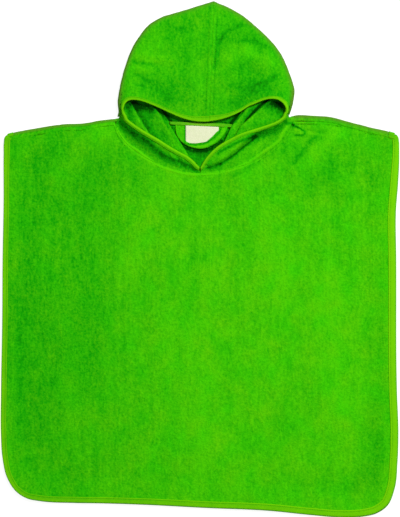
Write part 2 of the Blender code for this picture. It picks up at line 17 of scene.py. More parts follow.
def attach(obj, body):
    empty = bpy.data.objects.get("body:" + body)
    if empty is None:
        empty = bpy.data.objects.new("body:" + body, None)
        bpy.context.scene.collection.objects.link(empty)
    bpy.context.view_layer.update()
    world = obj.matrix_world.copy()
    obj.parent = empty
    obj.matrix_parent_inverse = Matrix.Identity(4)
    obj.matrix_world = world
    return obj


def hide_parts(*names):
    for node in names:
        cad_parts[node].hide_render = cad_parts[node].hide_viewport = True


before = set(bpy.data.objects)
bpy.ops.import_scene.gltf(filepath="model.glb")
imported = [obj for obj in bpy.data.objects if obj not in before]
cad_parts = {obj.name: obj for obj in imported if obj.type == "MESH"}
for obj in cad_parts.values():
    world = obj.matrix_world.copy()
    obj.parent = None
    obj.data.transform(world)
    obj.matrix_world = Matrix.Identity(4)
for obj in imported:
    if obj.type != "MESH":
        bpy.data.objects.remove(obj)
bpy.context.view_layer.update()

bl_info = {
    "name": "Hooded Bath Poncho",
    "version": (1, 0, 0),
    "blender": (4, 5, 0),
    "location": "View3D > Sidebar > Poncho",
    "description": "Terry cloth, bindings, neck pieces and stitching of a hooded bath poncho",
    "category": "Object",
}

MM = 0.001

# ------------------------------------------------------------------ the cloth's lie
GAP = 0.3                   # space between pieces that lie on each other
WELD = 0.02                 # points closer than this are one
NECK_LAP = 0.5              # how far the back panel reaches under the hood's neck edge
BIND_NOSE = 1.0             # how far a binding stands out past the cloth
BIND_SPREAD = 1.3           # how much wider the body's binding lies at the right side
BODY_HALF = 300.0           # half the body's width

BACK_Z = 1.0                # middle of the back panel
FRONT_Z = 3.3               # lowest middle of the front panel
BACK_EDGE_Z = 2.0           # middle of the back panel inside its binding
FRONT_EDGE_Z = 6.3          # and of the front panel
FRONT_LOFT = 0.9            # how far the front lies above its lowest height, on average
SHOULDER_RUN = 24.0         # how far from a shoulder the front gets loose
SHOULDER_Z = 3.9            # front edge of the shoulder's roll
SHOULDER_END_Z = 7.0        # and in its bound end
SEAM_Z = 4.6                # the neck seam
SEAM_RUN = 16.0             # run from the neck seam down to flat cloth
FRONT_EASE = 36.0           # run from a bound edge to flat cloth
BACK_EASE = 11.0            # the same under the back panel
FLOOR_Z = -0.5

# Top of the shoulders, from the bound end to the neck: x, y
LEFT_SHOULDER = ((-290, 188.4), (-280.5, 191.2), (-245.7, 197.8), (-206.5, 203.8),
                 (-172, 205.6), (-152, 209.4), (-128.5, 212))
RIGHT_SHOULDER = ((293.4, 189.6), (284, 192.6), (260, 198.3), (224, 207.5),
                  (197, 214.6), (170, 216.5), (142, 216.8))
LEFT_TUCK = (-122, 213)     # where the back panel's shoulders end under the hood
RIGHT_TUCK = (131, 213)
LEFT_ROLL = 4.5             # width of the roll that shows from above
RIGHT_ROLL = 9.0
ROLL_STEPS = 10             # rows round a shoulder's roll
ROLL_REST = 3               # and on from it to the front panel's edge

# Outer edge of the body, from the shoulder down to the middle of a corner: x, y
LEFT_SIDE = ((-290, 188.4), (-293.6, 184.6), (-295.2, 176), (-295.5, 160),
             (-295.5, 89), (-297, 0), (-297.6, -92), (-299.4, -200),
             (-299.6, -262), (-297, -300), (-290.5, -328), (-276, -350))
RIGHT_SIDE = ((293.4, 189.6), (297.6, 185.6), (299.5, 177), (299.8, 164),
              (297.5, 120), (294, 75), (294.4, 0), (295.5, -200),
              (297.6, -262), (296.2, -305), (291.8, -345), (281.2, -370))
HEM = ((-276, -350), (-261, -359.4), (-244, -362.8), (-190, -365.8),
       (-150, -366.4), (-88, -368.4), (10, -373.4), (105, -377.8), (168, -384.2),
       (212, -387.6), (245, -386.2), (264, -381.8), (281.2, -370))
BACK_SHIFT = (1.2, -0.9)    # the back panel lies this far aside under the front
SHIFT_RUN = 80.0            # and gets there this far below the shoulders
LEFT_SHARE = 0.286          # shares of the hem's length below the two shoulders
RIGHT_SHARE = 0.263

# Rows and columns of the panels: down a side, across a shoulder and across the neck
PanelMesh = namedtuple("PanelMesh", "rows shoulder neck")
FRONT_MESH = PanelMesh(205, 58, 100)
BACK_MESH = PanelMesh(150, 44, 70)
ROW_CROWDING = 0.45         # how much closer a panel's rows lie at the neck than on average

# Folds and hollows: the line that each one follows, its rise, and its half widths to
# the left and to the right of that line
Crease = namedtuple("Crease", "line rise left right")
FRONT_CREASES = [Crease(*row) for row in (
    (((205, 190), (176, 163), (150, 135)), 1.7, 15, 13),
    (((182, 186), (160, 168), (142, 146)), -1.3, 4.5, 6.5),
    (((146, 195), (152, 191.5), (155, 189)), 1.3, 3.5, 3.5),
    (((160, 193.5), (172, 190.5), (186, 190.5)), -1.2, 5, 2.6),
    (((-150, 200), (-180, 165), (-215, 120)), 2, 22, 16),
    (((-118, 198), (-112, 184), (-100, 168)), 1, 3, 4.5),
    (((-40, 118), (-78, 76), (-100, 0)), 1.1, 26, 34),
    (((60, 120), (96, 62), (112, -30)), 1.1, 32, 24),
    (((-220, 30), (-212, -110), (-190, -260)), 1.2, 34, 26),
    (((190, -40), (198, -170), (215, -300)), 1.2, 32, 24),
    (((-30, -110), (-10, -205), (20, -300)), 0.9, 30, 40),
    (((262, -275), (252, -320), (228, -345)), -1.8, 14, 20),
    (((-276, -60), (-268, -170), (-262, -270)), -1.2, 14, 12),
    (((120, 178), (150, 150), (168, 110)), -1, 14, 18),
)]
HOOD_CREASES = [Crease(*row) for row in (
    (((40, 344), (31, 328), (27, 312), (22, 290)), -1, 7, 4.5),
    (((28, 330), (44, 341), (72, 335), (98, 318)), -0.7, 8, 9),
    (((74, 284), (94, 266), (110, 250)), -1.4, 16, 13),
    (((40, 300), (70, 306), (104, 296)), 0.9, 9, 12),
    (((-100, 309), (-72, 304), (-44, 300)), 0.9, 5, 4),
    (((-98, 298), (-76, 293), (-58, 292)), -0.9, 4, 4.5),
    (((-96, 276), (-78, 262), (-52, 252)), -1.2, 10, 9),
    (((-50, 352), (-36, 346), (-20, 347)), -0.9, 7, 8),
    (((-40, 330), (-30, 300), (-32, 268)), -0.7, 16, 14),
)]
BAND_CREASES = [Crease(*row) for row in (
    (((-92, 196), (-66, 174), (-40, 157), (-22, 146)), -1.6, 3.5, 7),
    (((-43, 158), (-36, 150), (-33, 141)), 1.5, 2.6, 2.6),
    (((-28, 152), (-22, 145), (-19, 137)), 1.4, 2.4, 2.2),
    (((-104, 190), (-96, 178), (-84, 166)), -1, 5, 7),
)]

# Sections of the hood, from the lip at the face over the top layer to the fold at
# its side, back along the lower layer under the lip to the neck, and on to the foot
# of a pleat in the mouth.  crown is how far the top layer swells, top and low are
# the heights of the two layers at the fold.
HoodSection = namedtuple("HoodSection", "lip crown side top low beneath neck foot")
LEFT_HOOD = [HoodSection(*row) for row in (
    ((13.4, 208.8, 10.6), 3.5, (20.8, 389.2), 9, 1, (12, 214, 1), (11, 206.6, 1), None),
    ((6.4, 208.4, 10.6), 3.5, (12.4, 386.6), 9, 1, (4, 214, 1), (3, 206.5, 1), None),
    ((-8.7, 209.4, 10.9), 3.5, (-4.1, 381.5), 9.5, 1, (-9, 215, 1), (-9.5, 206.4, 1), None),
    ((-26.8, 213.8, 11.8), 3.5, (-29.8, 373.5), 10, 1, (-27, 218, 1), (-24, 206.2, 1), None),
    ((-44.8, 221.2, 13.4), 3.5, (-56, 365.8), 11, 1, (-44, 222, 1), (-36, 205.6, 1), None),
    ((-59.9, 228.2, 15.2), 3.2, (-76.6, 353.5), 11.5, 1, (-59, 225, 1), (-43.5, 204.6, 1), None),
    ((-72.7, 233.6, 17.2), 3, (-90.1, 337.5), 12, 1.4, (-71, 227.5, 1.8), (-51, 204.2, 2.4),
     (-21.5, 156, 3.2)),
    ((-82.5, 237.4, 18.2), 2.6, (-99.6, 322.5), 12.5, 2, (-68.8, 227.8, 10.4), (-47.8, 204.2, 10.8),
     (-17, 154.6, 6.4)),
    ((-92.3, 240.1, 19.2), 2.2, (-107.4, 304.5), 13, 3, (-79, 232.5, 9.4), (-59, 205, 9.2),
     (-27, 158.5, 5.6)),
    ((-101.4, 241, 20), 1.6, (-113.7, 286), 14, 3.5, (-92, 237, 6.6), (-72.5, 206, 6.8),
     (-41, 164, 5)),
    ((-108.4, 239.4, 20.5), 1, (-118.3, 268), 15, 3.7, (-109.5, 238.5, 3.9), (-93, 207.8, 4.2),
     (-69, 174, 4.4)),
    ((-113.3, 234.5, 20.8), 0.6, (-121.7, 251.5), 16, 3.9, (-107.5, 238, 11.8), (-90.4, 208.4, 12.8),
     (-66.5, 175.6, 9.4)),
    ((-115.7, 226.9, 20.6), 0.2, (-123.6, 237), 16.5, 4, (-112, 232.5, 10.4), (-103, 208, 10),
     (-84, 184.5, 8.6)),
    ((-114.6, 219.6, 19.8), 0, (-122.6, 224), 14, 4.2, (-116.5, 219.5, 9.4), (-112, 209, 8.6),
     (-99.6, 196, 8)),
    ((-112, 216, 19.2), 0, (-124.6, 215), 8, 4.4, (-119, 212, 7), (-116, 207.6, 7.6),
     (-104.5, 198, 7.4)),
)]
RIGHT_HOOD = [HoodSection(*row) for row in (
    ((13.4, 208.8, 10.6), 3.5, (20.8, 389.2), 9, 1, (12, 214, 1), (11, 206.6, 1), None),
    ((18.4, 209.6, 10.6), 3.5, (29.4, 385.2), 9, 1, (18, 214, 1), (16, 206.5, 1), None),
    ((29.5, 211.5, 10.9), 3.5, (44.1, 379), 9.5, 1, (29, 215, 1), (25, 206.3, 1), None),
    ((45.6, 216.4, 11.8), 3.5, (65.2, 366.5), 10, 1, (44, 217, 1), (36, 205.8, 1), None),
    ((60.7, 223.3, 13.6), 3.2, (83.3, 351.5), 11, 1, (57, 220, 1), (45.5, 204, 1), None),
    ((72.7, 230.7, 15.4), 3, (99.6, 336.4), 12, 1.4, (72.5, 227.5, 1.6), (50.6, 200.2, 2.2),
     (36.5, 168.6, 3.4)),
    ((81.8, 234.5, 17.4), 2.6, (113.2, 321.6), 12.5, 2, (70.5, 227.5, 11.2), (48, 199.8, 11.2),
     (33, 168.2, 8)),
    ((90.8, 238.3, 18.6), 2.2, (123.3, 306.6), 13, 3, (88, 232, 8.6), (55, 199.6, 8.2),
     (40, 168.8, 6)),
    ((99.9, 241.2, 19.8), 1.8, (130.9, 290), 13.5, 3.5, (106.5, 240.5, 4), (63.5, 199.2, 4.2),
     (48.5, 170.4, 4.6)),
    ((108.9, 242.1, 20.6), 1.2, (137.2, 273.4), 14.5, 3.7, (104.5, 239, 12.6), (60.5, 199.2, 13.6),
     (45.5, 170.8, 9.6)),
    ((118, 240.5, 21), 0.8, (141.9, 257.6), 15.5, 3.9, (113, 241, 9.4), (84, 203, 11),
     (69, 178, 7)),
    ((125.5, 235.2, 21), 0.4, (141.4, 245), 16, 4, (122, 237, 7), (104, 208.6, 9.6),
     (92, 187.4, 5.2)),
    ((129.6, 228.4, 20.8), 0.2, (139.4, 234.5), 15.5, 4.1, (128, 229.5, 6.4), (119, 212, 8.8),
     (111.6, 199, 5.8)),
    ((129.8, 222.4, 20.2), 0, (137.2, 225), 13, 4.2, (132, 221.5, 6.2), (126, 212.6, 8.2),
     (119.4, 204.5, 6.4)),
    ((127.8, 219, 19.6), 0, (135, 218.2), 8, 4.4, (133, 215, 6.4), (129, 211.5, 7.6),
     (122.4, 206.5, 7.4)),
)]
# Broad patches where the pile is coloured darker or lighter: middle, half widths, and shade
TonePatch = namedtuple("TonePatch", "x y across along shade")
# on the body: darker over its left third and in a few smaller patches
BODY_TONE_PATCHES = [TonePatch(*row) for row in (
    (-216, -60, 92, 340, -0.47),
    (-160, 150, 70, 32, -0.2), (0, 116, 30, 24, 0.14),
    (-60, 105, 80, 40, -0.08), (150, -110, 130, 150, 0.06),
    (70, 110, 90, 40, -0.12), (240, 150, 90, 60, -0.12),
    (276, -298, 7, 20, -0.3), (262, -340, 10, 9, -0.2),
    (258, -130, 12, 60, -0.1), (196, 140, 20, 26, -0.2),
    (262, 120, 14, 30, -0.2))]
# on the hood: the small dark patches are painted shade in its creases, and the broad ones make it
# darker or lighter
HOOD_TONE_AND_SHADE_PATCHES = [TonePatch(*row) for row in (
    (-50, 258, 22, 18, -0.3), (-44, 240, 12, 8, -0.3),
    (80, 256, 22, 14, -0.5), (55, 236, 16, 10, -0.4),
    (5, 264, 22, 26, 0.12), (-100, 272, 12, 20, 0.2),
    (68, 315, 16, 12, 0.2), (-80, 312, 18, 18, 0.2),
    (-50, 332.7, 5.5, 3.2, -0.45), (-30, 347.7, 6, 3, -0.4),
    (-2.3, 310, 4, 6, -0.35), (10, 357, 4, 5, -0.3),
    (50.5, 262.3, 4, 4, -0.35), (53, 283, 5, 4, -0.25),
    (75.7, 300, 6, 4, -0.3), (65.6, 330, 5.5, 3, -0.4),
    (82, 330, 6, 3, -0.4), (-60, 284, 6, 5, -0.3))]
# painted shadow in the V under the neck, on the inside of the back panel
BACK_SHADOW_PATCHES = [TonePatch(*row) for row in ((0.0, 158.0, 62.0, 42.0, -0.8),)]
# painted shadow in the mouth's corners, under the upper lip and between its pleats
MOUTH_SHADOW_PATCHES = [TonePatch(*row) for row in (
    (117, 233, 13, 9, -1.2), (-104, 233, 12, 8, -0.75),
    (-77, 229, 15, 9, -0.8),
    (-76, 208, 16, 12, -0.1), (-56, 214, 6, 6, -0.4))]
# painted shade where the hood's sides turn over, near the corners of the mouth
TURN_SHADE_PATCHES = [TonePatch(*row) for row in (
    (141, 242, 7, 24, 0.3), (-123, 244, 6, 20, 0.3))]
BODY_SHADE = 0.64           # the pile's shade away from the patches
HOOD_SHADE = 0.38
BACK_SHADE = 0.6
MOUTH_SHADE = 0.34
BAND_SHADE = 0.45
FACING_SHADE = 0.7
CREASE_SHADE = 0.16         # painted light and shade: how much lighter the pile is painted with each mm that it rises, and darker where it sinks
TURN_WIDTH = 4.0            # reach of the painted shade where the cloth turns over
# Painted shadow in the mouth behind the upper lip, and painted light that eases it right at the lip:
# how strong, and how far they reach
LIP_SHADOWS = ((-0.95, 11.0), (1.1, 4.5))

# Lines along which the pile is painted darker, as shade in creases, crevices and under edges, and
# lighter, as light on crests, ridges and rims
# in the mouth: painted shadow in the crevices beside the pleats' crests, and painted light on the
# crests
MOUTH_LINES = [Crease(*row) for row in (
    (((-102.5, 237), (-92.5, 217.5), (-84, 202), (-76, 189), (-68, 181)),
     -0.8, 8, 0.9),
    (((-104.5, 231), (-95, 215.6), (-86, 200.5), (-78, 188.4)), 0.35, 0.9, 3.5),
    (((-64, 222.5), (-59.5, 217), (-55, 206.5), (-47.5, 194.5), (-38.4, 179.4),
      (-29.4, 168.8), (-20.4, 159.8)), 0.5, 1.2, 4.5),
    (((-58, 226), (-50.5, 215), (-42.5, 203), (-35.5, 190), (-28, 176)),
     -1.3, 5, 0.8),
    (((103.3, 241.2), (94.2, 234.5), (88.2, 228.8), (82.2, 223.2), (77.6, 219),
      (73.1, 213.5), (68, 207.5)), -1.8, 1.2, 2.2),
    (((92, 226.5), (84.4, 219.4), (76.1, 212), (67.1, 205)), 0.4, 4, 0.9),
    (((70, 224.5), (64, 217), (58, 209.5), (50.5, 200.5)), 0.55, 4, 1),
    (((64.5, 227), (57, 215.5), (52, 208.5), (46, 200.5)), -1.3, 0.7, 5))]
# painted shadow round the half-moon's rim, on the back panel
BACK_LINES = [Crease(*row) for row in (
    (((-41.5, 204), (-41.5, 197.5), (-39.5, 187), (-35.4, 179.4), (-23.4, 168.8),
      (-6.8, 163.6), (8.3, 164.3), (23.4, 170.3), (38.4, 182.4), (44.5, 194.5),
      (45.5, 204)), -1, 3.6, 3.6),)]
# painted light on the half-moon's curled rim, and painted shade inside the curl and at the label's
# left edge
FACING_LINES = [Crease(*row) for row in (
    (((-29.4, 177.9), (-21.9, 172.6), (-14.3, 170.3), (-3.8, 168.8), (6.8, 170.3),
      (17.3, 175), (26.4, 182), (33.9, 190.5), (36.9, 197.5)), 0.45, 1.7, 1.7),
    (((-18.8, 173.8), (-6.8, 171.9), (5.3, 173.7), (14.3, 178.2), (21.9, 183.6),
      (29, 190.5), (31.8, 199)), -1, 1.6, 1.2),
    (((-22.6, 200), (-22.6, 175)), -0.8, 1.2, 1.2))]
# painted shadow under the lower lip's binding and in its creases, and painted light on its bulges
BAND_LINES = [Crease(*row) for row in (
    (((-118.8, 207.4), (-104.8, 195), (-91.3, 186.7), (-78.1, 178), (-67.3, 166.4),
      (-54, 157), (-41, 150.5), (-27, 147), (-13.3, 141.5), (-6, 136)),
     -0.95, 3.6, 7),
    (((-66, 175), (-52, 163.5), (-35, 153.5), (-18, 145)), 0.35, 3.5, 2.5),
    (((12, 139.4), (22, 141.6), (33.9, 146.4), (51, 158.5), (67.1, 171.6),
      (84, 185)), -1.05, 1.4, 3.4),
    (((30, 151), (48, 163), (62, 175)), 0.35, 4, 2),
    (((27.7, 160), (38, 166.5), (50, 172.5), (66, 180), (84, 187)),
     -0.75, 2, 2.2),
    (((80, 186), (90, 189), (103, 193.5), (116, 201)), -0.75, 3.5, 8.5),
    (((77.2, 162.2), (90.2, 172.9), (100.9, 183.8)), 0.3, 2.8, 2.8),
    (((124, 211), (131, 206), (137, 205)), -0.6, 2, 3))]
# on the hood: painted shade in its troughs and creases, and painted light beside the middle seam and
# on its ridges
HOOD_LINES = [Crease(*row) for row in (
    (((60, 350), (38, 342.6), (30.7, 330.1), (27, 315), (24.1, 302.5), (21.6, 290)),
     -0.3, 2.8, 4.5),
    (((20.4, 372), (20, 330), (19.4, 296)), 0.25, 2, 2),
    (((-101, 296.2), (-90.2, 295), (-72, 293)), -0.25, 2.6, 2.6),
    (((-95.3, 277.4), (-84, 272), (-72.7, 267.3)), -0.3, 3.6, 3.6),
    (((-100, 265), (-85.2, 259.7)), -0.3, 3.4, 3.4),
    (((-97.7, 302.5), (-60, 297.4)), 0.2, 3, 3),
    (((-97.7, 290), (-72.7, 282.3)), 0.2, 3.6, 3.6),
    (((50.5, 352.7), (62.6, 352.7)), -0.25, 2.8, 2.8),
    (((38, 330), (53, 327.6), (65.6, 329), (95.7, 322.6), (103.3, 317.6)),
     -0.22, 3.6, 3.6),
    (((118.3, 277.4), (110.8, 273.6), (98.3, 267.3), (84, 262)), -0.35, 3.4, 3.4))]
SEAM_STITCH = 5.6           # stitch lines beside the hood's middle seam
SEAM_STITCH_SHADES = (-0.25, 1.2)
NECK_RIDGE = ((-126.3, 196.6), (-120.9, 186.9), (-110.2, 174), (-96.2, 165.4),
              (-84.3, 155.7), (-71.5, 146.1), (-56.4, 138.5), (-39, 132.1), (-21.9, 127.7),
              (-8.9, 126.6), (12.7, 128.9), (29.8, 131), (44.9, 134.2), (62.1, 140.6),
              (73, 146.1), (90.1, 157.8), (100.9, 165.4), (111.7, 172.9), (119.2, 179.4),
              (124.4, 190.1), (131, 199.9))
RIDGE = (1.1, 1.7)          # rise and half width of the ridge of the neck's seam allowance
# painted highlight along the neck's ridge: how much lighter, and half width
RIDGE_SHADES = (0.8, 2.0)
# on the front: painted shade in creases and folds, along the right shoulder's seam and beside the
# neck, and painted light on a ridge by the right shoulder
FRONT_LINES = [Crease(*row) for row in (
    (((138, 204), (144.6, 200.2), (151, 197), (156.6, 193.2), (157.4, 189.2),
      (153.6, 186.6), (145, 187.6)), -1.3, 1.7, 1.7),
    (((164, 192.4), (172, 190), (184, 187.5)), 0.45, 2, 2),
    (((172, 186), (160, 170), (143, 146)), -0.4, 3.4, 4.2),
    (((180, 188), (170, 180)), -0.25, 5, 7),
    (((160, 207), (197, 205), (260, 190), (292, 181.5)), -0.14, 2, 2.4),
    (((47, 126.5), (60, 131), (73, 138.6), (85.8, 145)), -0.35, 3.5, 3.5),
    (((131, 210), (137, 205), (141, 199)), -0.7, 3, 3),
    (((-128, 206), (-124, 192), (-116, 178)), -0.3, 5, 3))]
FOLD_REACH = 1.1            # depth of the hood's side fold, as a share of half its height

# Sections of the hood's lower band, from the lip down to the neck seam.  roll is
# its swell below the lip, and crease the share of the way where a fold lies.
BandSection = namedtuple("BandSection", "lip seam roll crease")
LEFT_BAND = [BandSection(*row) for row in (
    ((-108.8, 209.8, 18.6), (-127.2, 203.5), 0, 0),
    ((-98.8, 201.9, 18), (-122.5, 190.5), 0.4, 0),
    ((-86.7, 193.8, 17), (-111.5, 175.6), 0.8, 0),
    ((-73.3, 186, 15.8), (-97, 162.8), 1, 0),
    ((-59.8, 178, 14.6), (-80.5, 152.6), 1.2, 0),
    ((-46.4, 169.4, 13.4), (-62.8, 144), 1.4, 0),
    ((-32.8, 161.7, 12.2), (-47.5, 138.2), 1.4, 0),
    ((-20.4, 155.3, 11), (-34, 134.4), 1, 0),
    ((-10.9, 148, 9.4), (-24, 132.2), 0.5, 0),
    ((-5.4, 142.1, 8), (-12, 130.9), 0, 0),
    ((-1.4, 138.8, 6.8), (-0.1, 130), 0, 0),
)]
RIGHT_BAND = [BandSection(*row) for row in (
    ((124.3, 213.4, 19), (138.8, 209.5), 0, 0),
    ((114, 206.4, 18.6), (135.5, 199), 0.4, 0),
    ((97.3, 200.1, 17.8), (127.2, 185.5), 0.8, 0.08),
    ((79.5, 194.2, 16.8), (113.2, 170.5), 1, 0.2),
    ((61.4, 188, 15.6), (95.8, 156.8), 1.6, 0.37),
    ((44.8, 179.6, 14.4), (76, 146), 2, 0.45),
    ((29.6, 170.8, 12.8), (56, 138.6), 2, 0.56),
    ((18.6, 161.5, 11.2), (38, 133.8), 1.4, 0.6),
    ((9.2, 150.7, 9.4), (24, 131.2), 0.6, 0.52),
    ((4.2, 142.8, 8), (12, 130.5), 0, 0),
    ((1.4, 138.6, 6.8), (0.1, 130), 0, 0),
)]
HALVES = {"left": (LEFT_HOOD, LEFT_BAND), "right": (RIGHT_HOOD, RIGHT_BAND)}
CREASE_FOOT = 2.2           # height of the band above its seam just past a crease
CREASE_LEAD = 0.15          # the fall into a crease starts this share of the way before it
CREASE_FALL = 0.2           # and takes this share of the way
CREASE_LEAST = 0.2          # least share at which the fold lies, where it fades away
CREASE_FULL = 0.25          # share from which the fold is a full one
SEAM_FLAT = 4.0             # level strip of the hood beside the neck seam
SEAM_SHARE = 0.2            # most of a band's width that it takes
SECTION_STEPS = 9           # stations from one section to the next
SAMPLES = 60                # points worked out along a layer before its rows are placed

# Rows of the hood from the lip: under the binding, over the top, round the fold, along
# the lower layer and down the pleats in the mouth
HoodRows = namedtuple("HoodRows", "lip top fold under mouth")
HOOD_ROWS = HoodRows(5, 74, 10, 40, 30)
OVER_ROWS = HOOD_ROWS.lip + HOOD_ROWS.top
LIP_SHARE = 0.4             # most of a band's width that its binding covers
LIP_SPREAD = 3.0            # how much wider the binding lies at the lip's middle
LIP_MIDDLE = 12.0           # x of the middle, and how far along X the widening reaches
LIP_RUN = 30.0
SOFTENED = 10               # rounds of smoothing over the pleats
EVENED = 3                  # and of a strip's normals along it

# The hood's middle seam and the shoulders' seams: distances from a seam, and the rise
# of the cloth there
SeamPoint = namedtuple("SeamPoint", "away rise")
HOOD_SEAM = [SeamPoint(*row) for row in (
    (0, -0.3), (1, 0.3), (2.6, 0.6), (4.2, 0.5), (5.6, 0), (6.8, 0.4), (8.4, 0.2),
    (11, 0))]
SHOULDER_SEAM = [SeamPoint(*row) for row in (
    (0, 0), (1.5, 0.15), (3, 0.25), (4.5, 0.05), (7, 0.1), (10, 0))]

# Half-moon inside the back neck.  Its rim runs from the left end of the tape round
# to the right end.  curl is the radius of the rim's turned edge, and fold how far
# the cloth past it lies back over the half-moon.
RimPoint = namedtuple("RimPoint", "x y curl fold")
FACING_RIM = [RimPoint(*row) for row in (
    (-36.6, 203.4, 0.3, 0.3), (-36.4, 197.5, 0.8, 1), (-35.6, 190.5, 1.1, 1.5),
    (-33.2, 184.5, 1.3, 2), (-28.6, 178.5, 1.4, 2.4), (-22, 173.6, 1.5, 2.6),
    (-13, 169.6, 1.6, 2.8), (-2, 167.4, 1.6, 3.2), (8, 168.2, 1.8, 5),
    (17, 171.6, 1.9, 7.5), (26, 177.2, 2, 9), (33, 184.4, 2, 9),
    (38, 191.5, 1.6, 7), (40.5, 198, 1, 3), (41.5, 203.4, 0.3, 0.3))]
FACING_TOP = 203.4          # y of its top edge, under the tape
FACING_TAPER = 0.96         # width of its top edge, as a share of the rim's
FOLD_DROP = 0.45            # drop of the cloth that lies back, as a share of the curl
FACING_STEPS = 8            # stations from one rim point to the next
FACING_ROWS = 18
CURL_ROWS = 8
FOLD_ROWS = 6
NeckRow = namedtuple("NeckRow", "y left right")
TAPE_ROWS = [NeckRow(*row) for row in ((205.8, -45.8, 48.5), (201.3, -45.8, 48.5))]
LABEL_ROWS = [NeckRow(*row) for row in (
    (201, -21.6, 28.1), (189.2, -21.6, 28.3), (186.4, -21.6, 26), (183.6, -21.5, 21.4),
    (180.4, -21.5, 15), (177.4, -21.4, 8), (174.6, -21.3, -7))]

# The profile of a binding from its inner edge out to the nose, as shares of its
# width in from the cloth's edge and of its height over the cloth, with its painted shades
# (highlights on its edges, shade in its groove) on the body and on the hood, and how much
# lighter it is 300 mm to the right
BindPoint = namedtuple("BindPoint", "across height body hood tilt")
BIND_PROFILE = [BindPoint(*row) for row in (
    (1.02, 0, 0.1, -0.1, 0.3), (1.05, 0.45, 0.6, 0.1, 0.5), (1, 0.95, 0.95, 0.3, 0.55),
    (0.9, 1.15, 0.85, 0.25, 0.5), (0.82, 0.9, 0.35, 0.1, 0.45), (0.76, 0.62, -0.02, 0, 0.3),
    (0.7, 0.9, 0.2, 0.1, 0.35), (0.55, 1.12, 0.45, 0.3, 0.3), (0.35, 1.2, 0.6, 0.6, 0.2),
    (0.15, 1.1, 0.7, 0.9, 0.1), (0, 0.95, 0.55, 1.1, 0.1))]
BIND_SIDES = 0.3            # how much lighter a binding is down the body's sides
SIDE_POWER = 6              # power of x by which it gets so
NOSE_SHADES = (-0.2, 0.6)   # painted shades of a binding round its nose: shade on the body, a highlight on the hood
BIND_TOP = 190.0            # y above which a body binding has its deep shade
BIND_FADE = 24.0            # and the way below it over which it lightens
NOSE_STEPS = 6              # facets round the nose of a binding
INSIDE_STEPS = 4            # points across the inside of a binding
STITCH_ACROSS = 0.76        # stitches lie in the binding's groove
STITCH_HEIGHT = 0.75        # and this share of the binding's thickness over its inner side

TERRY_LUMPS = ((4.6, 0.22, 11), (9.0, 0.2, 12))     # size, height, seed of the pile's lumps
SLACK_LUMPS = ((46.0, 0.7, 21), (95.0, 0.9, 22))    # and of the loose lie of a panel
LABEL_LUMPS = ((12.0, 0.25, 31),)
NECK_TILT = -0.045          # slope of the tape and the label to the right
FLAT_SHADE = 0.6            # shade of the label
# painted light on the middle of the tape, which leaves its ends darker
TAPE_LIGHT_PATCHES = [TonePatch(2.0, 203.0, 20.0, 30.0, 0.9)]
LATTICE = 32                # cells of the random lattice each way

# Parts of the cloths' looks: scale, stretch and detail of random ones, or how many loops
# and yarns a metre has, and what each weighs in the shade and in the relief
Noise = namedtuple("Noise", "scale stretch detail shade relief")
Cells = namedtuple("Cells", "scale shade relief")
EVEN = (1.0, 1.0, 1.0)
LOOPS = Cells(520.0, 0.2, 0.4)
PILE_NOISES = [Noise(*row) for row in (
    (300.0, EVEN, 2.0, 1.2, 0.8),               # tufts
    (300.0, (1.0, 0.4, 1.0), 2.0, 0.9, 0.6),    # columns of loops
    (80.0, (1.0, 0.7, 1.0), 3.0, 0.5, 0.8),     # brushed patches
    (22.0, EVEN, 2.0, 0.3, 0.0),                # broad lie of the nap
    (95.0, (1.0, 0.13, 1.0), 2.0, 0.6, 0.0))]   # streaks along the cloth
WARMTH = Noise(34.0, (1.0, 0.8, 1.0), 4.0, 2.4, 0.0)
WARM_LEVEL = 0.45           # how warm the terry is on average
YARNS = Cells(1400.0, 0.15, 0.6)
SLUBS = Noise(260.0, EVEN, 3.0, 0.25, 0.4)
SLUB_RANGE = (0.3, 0.7)     # values between which a yarn swells
WOVEN_WEAR = Noise(30.0, EVEN, 2.0, 0.6, 0.0)
WOVEN_NAP = 0.8             # weight of the painted shade and highlights that smooth cloth holds at its points
TURN_GAIN = -3.0            # how fast it takes on its painted edge shade where its held shade is below 0

# Surfaces of the terry and of smooth cloth: roughness, relief in millimetres, sheen and
# shine
Surface = namedtuple("Surface", "roughness relief sheen shine")
TERRY_SURFACE = Surface(0.95, 0.8, 0.03, 0.0)
WOVEN_SURFACE = Surface(0.85, 0.25, 0.01, 0.01)
SHEEN_ROUGHNESS = 0.6

# The stage, in metres
FLOOR_SIZE = 12.0
LAMP_SIZE = 1.1
LAMP_COLOUR = (1.0, 0.99, 0.96)
LAMP_PLACE = (1.35, 1.85, 3.75)
FRAME_HEIGHT = 0.7794       # height of the frame on the floor
FRAME_Y = 0.0015            # and its middle
SENSOR = 36.0               # width of the camera's sensor in millimetres


# ------------------------------------------------------------- what a user can set
def length_setting(name, description, default, low, high):
    """A length that the user can set, given in millimetres."""
    return FloatProperty(name=name, description=description, default=default * MM,
                         min=low * MM, max=high * MM, unit="LENGTH")


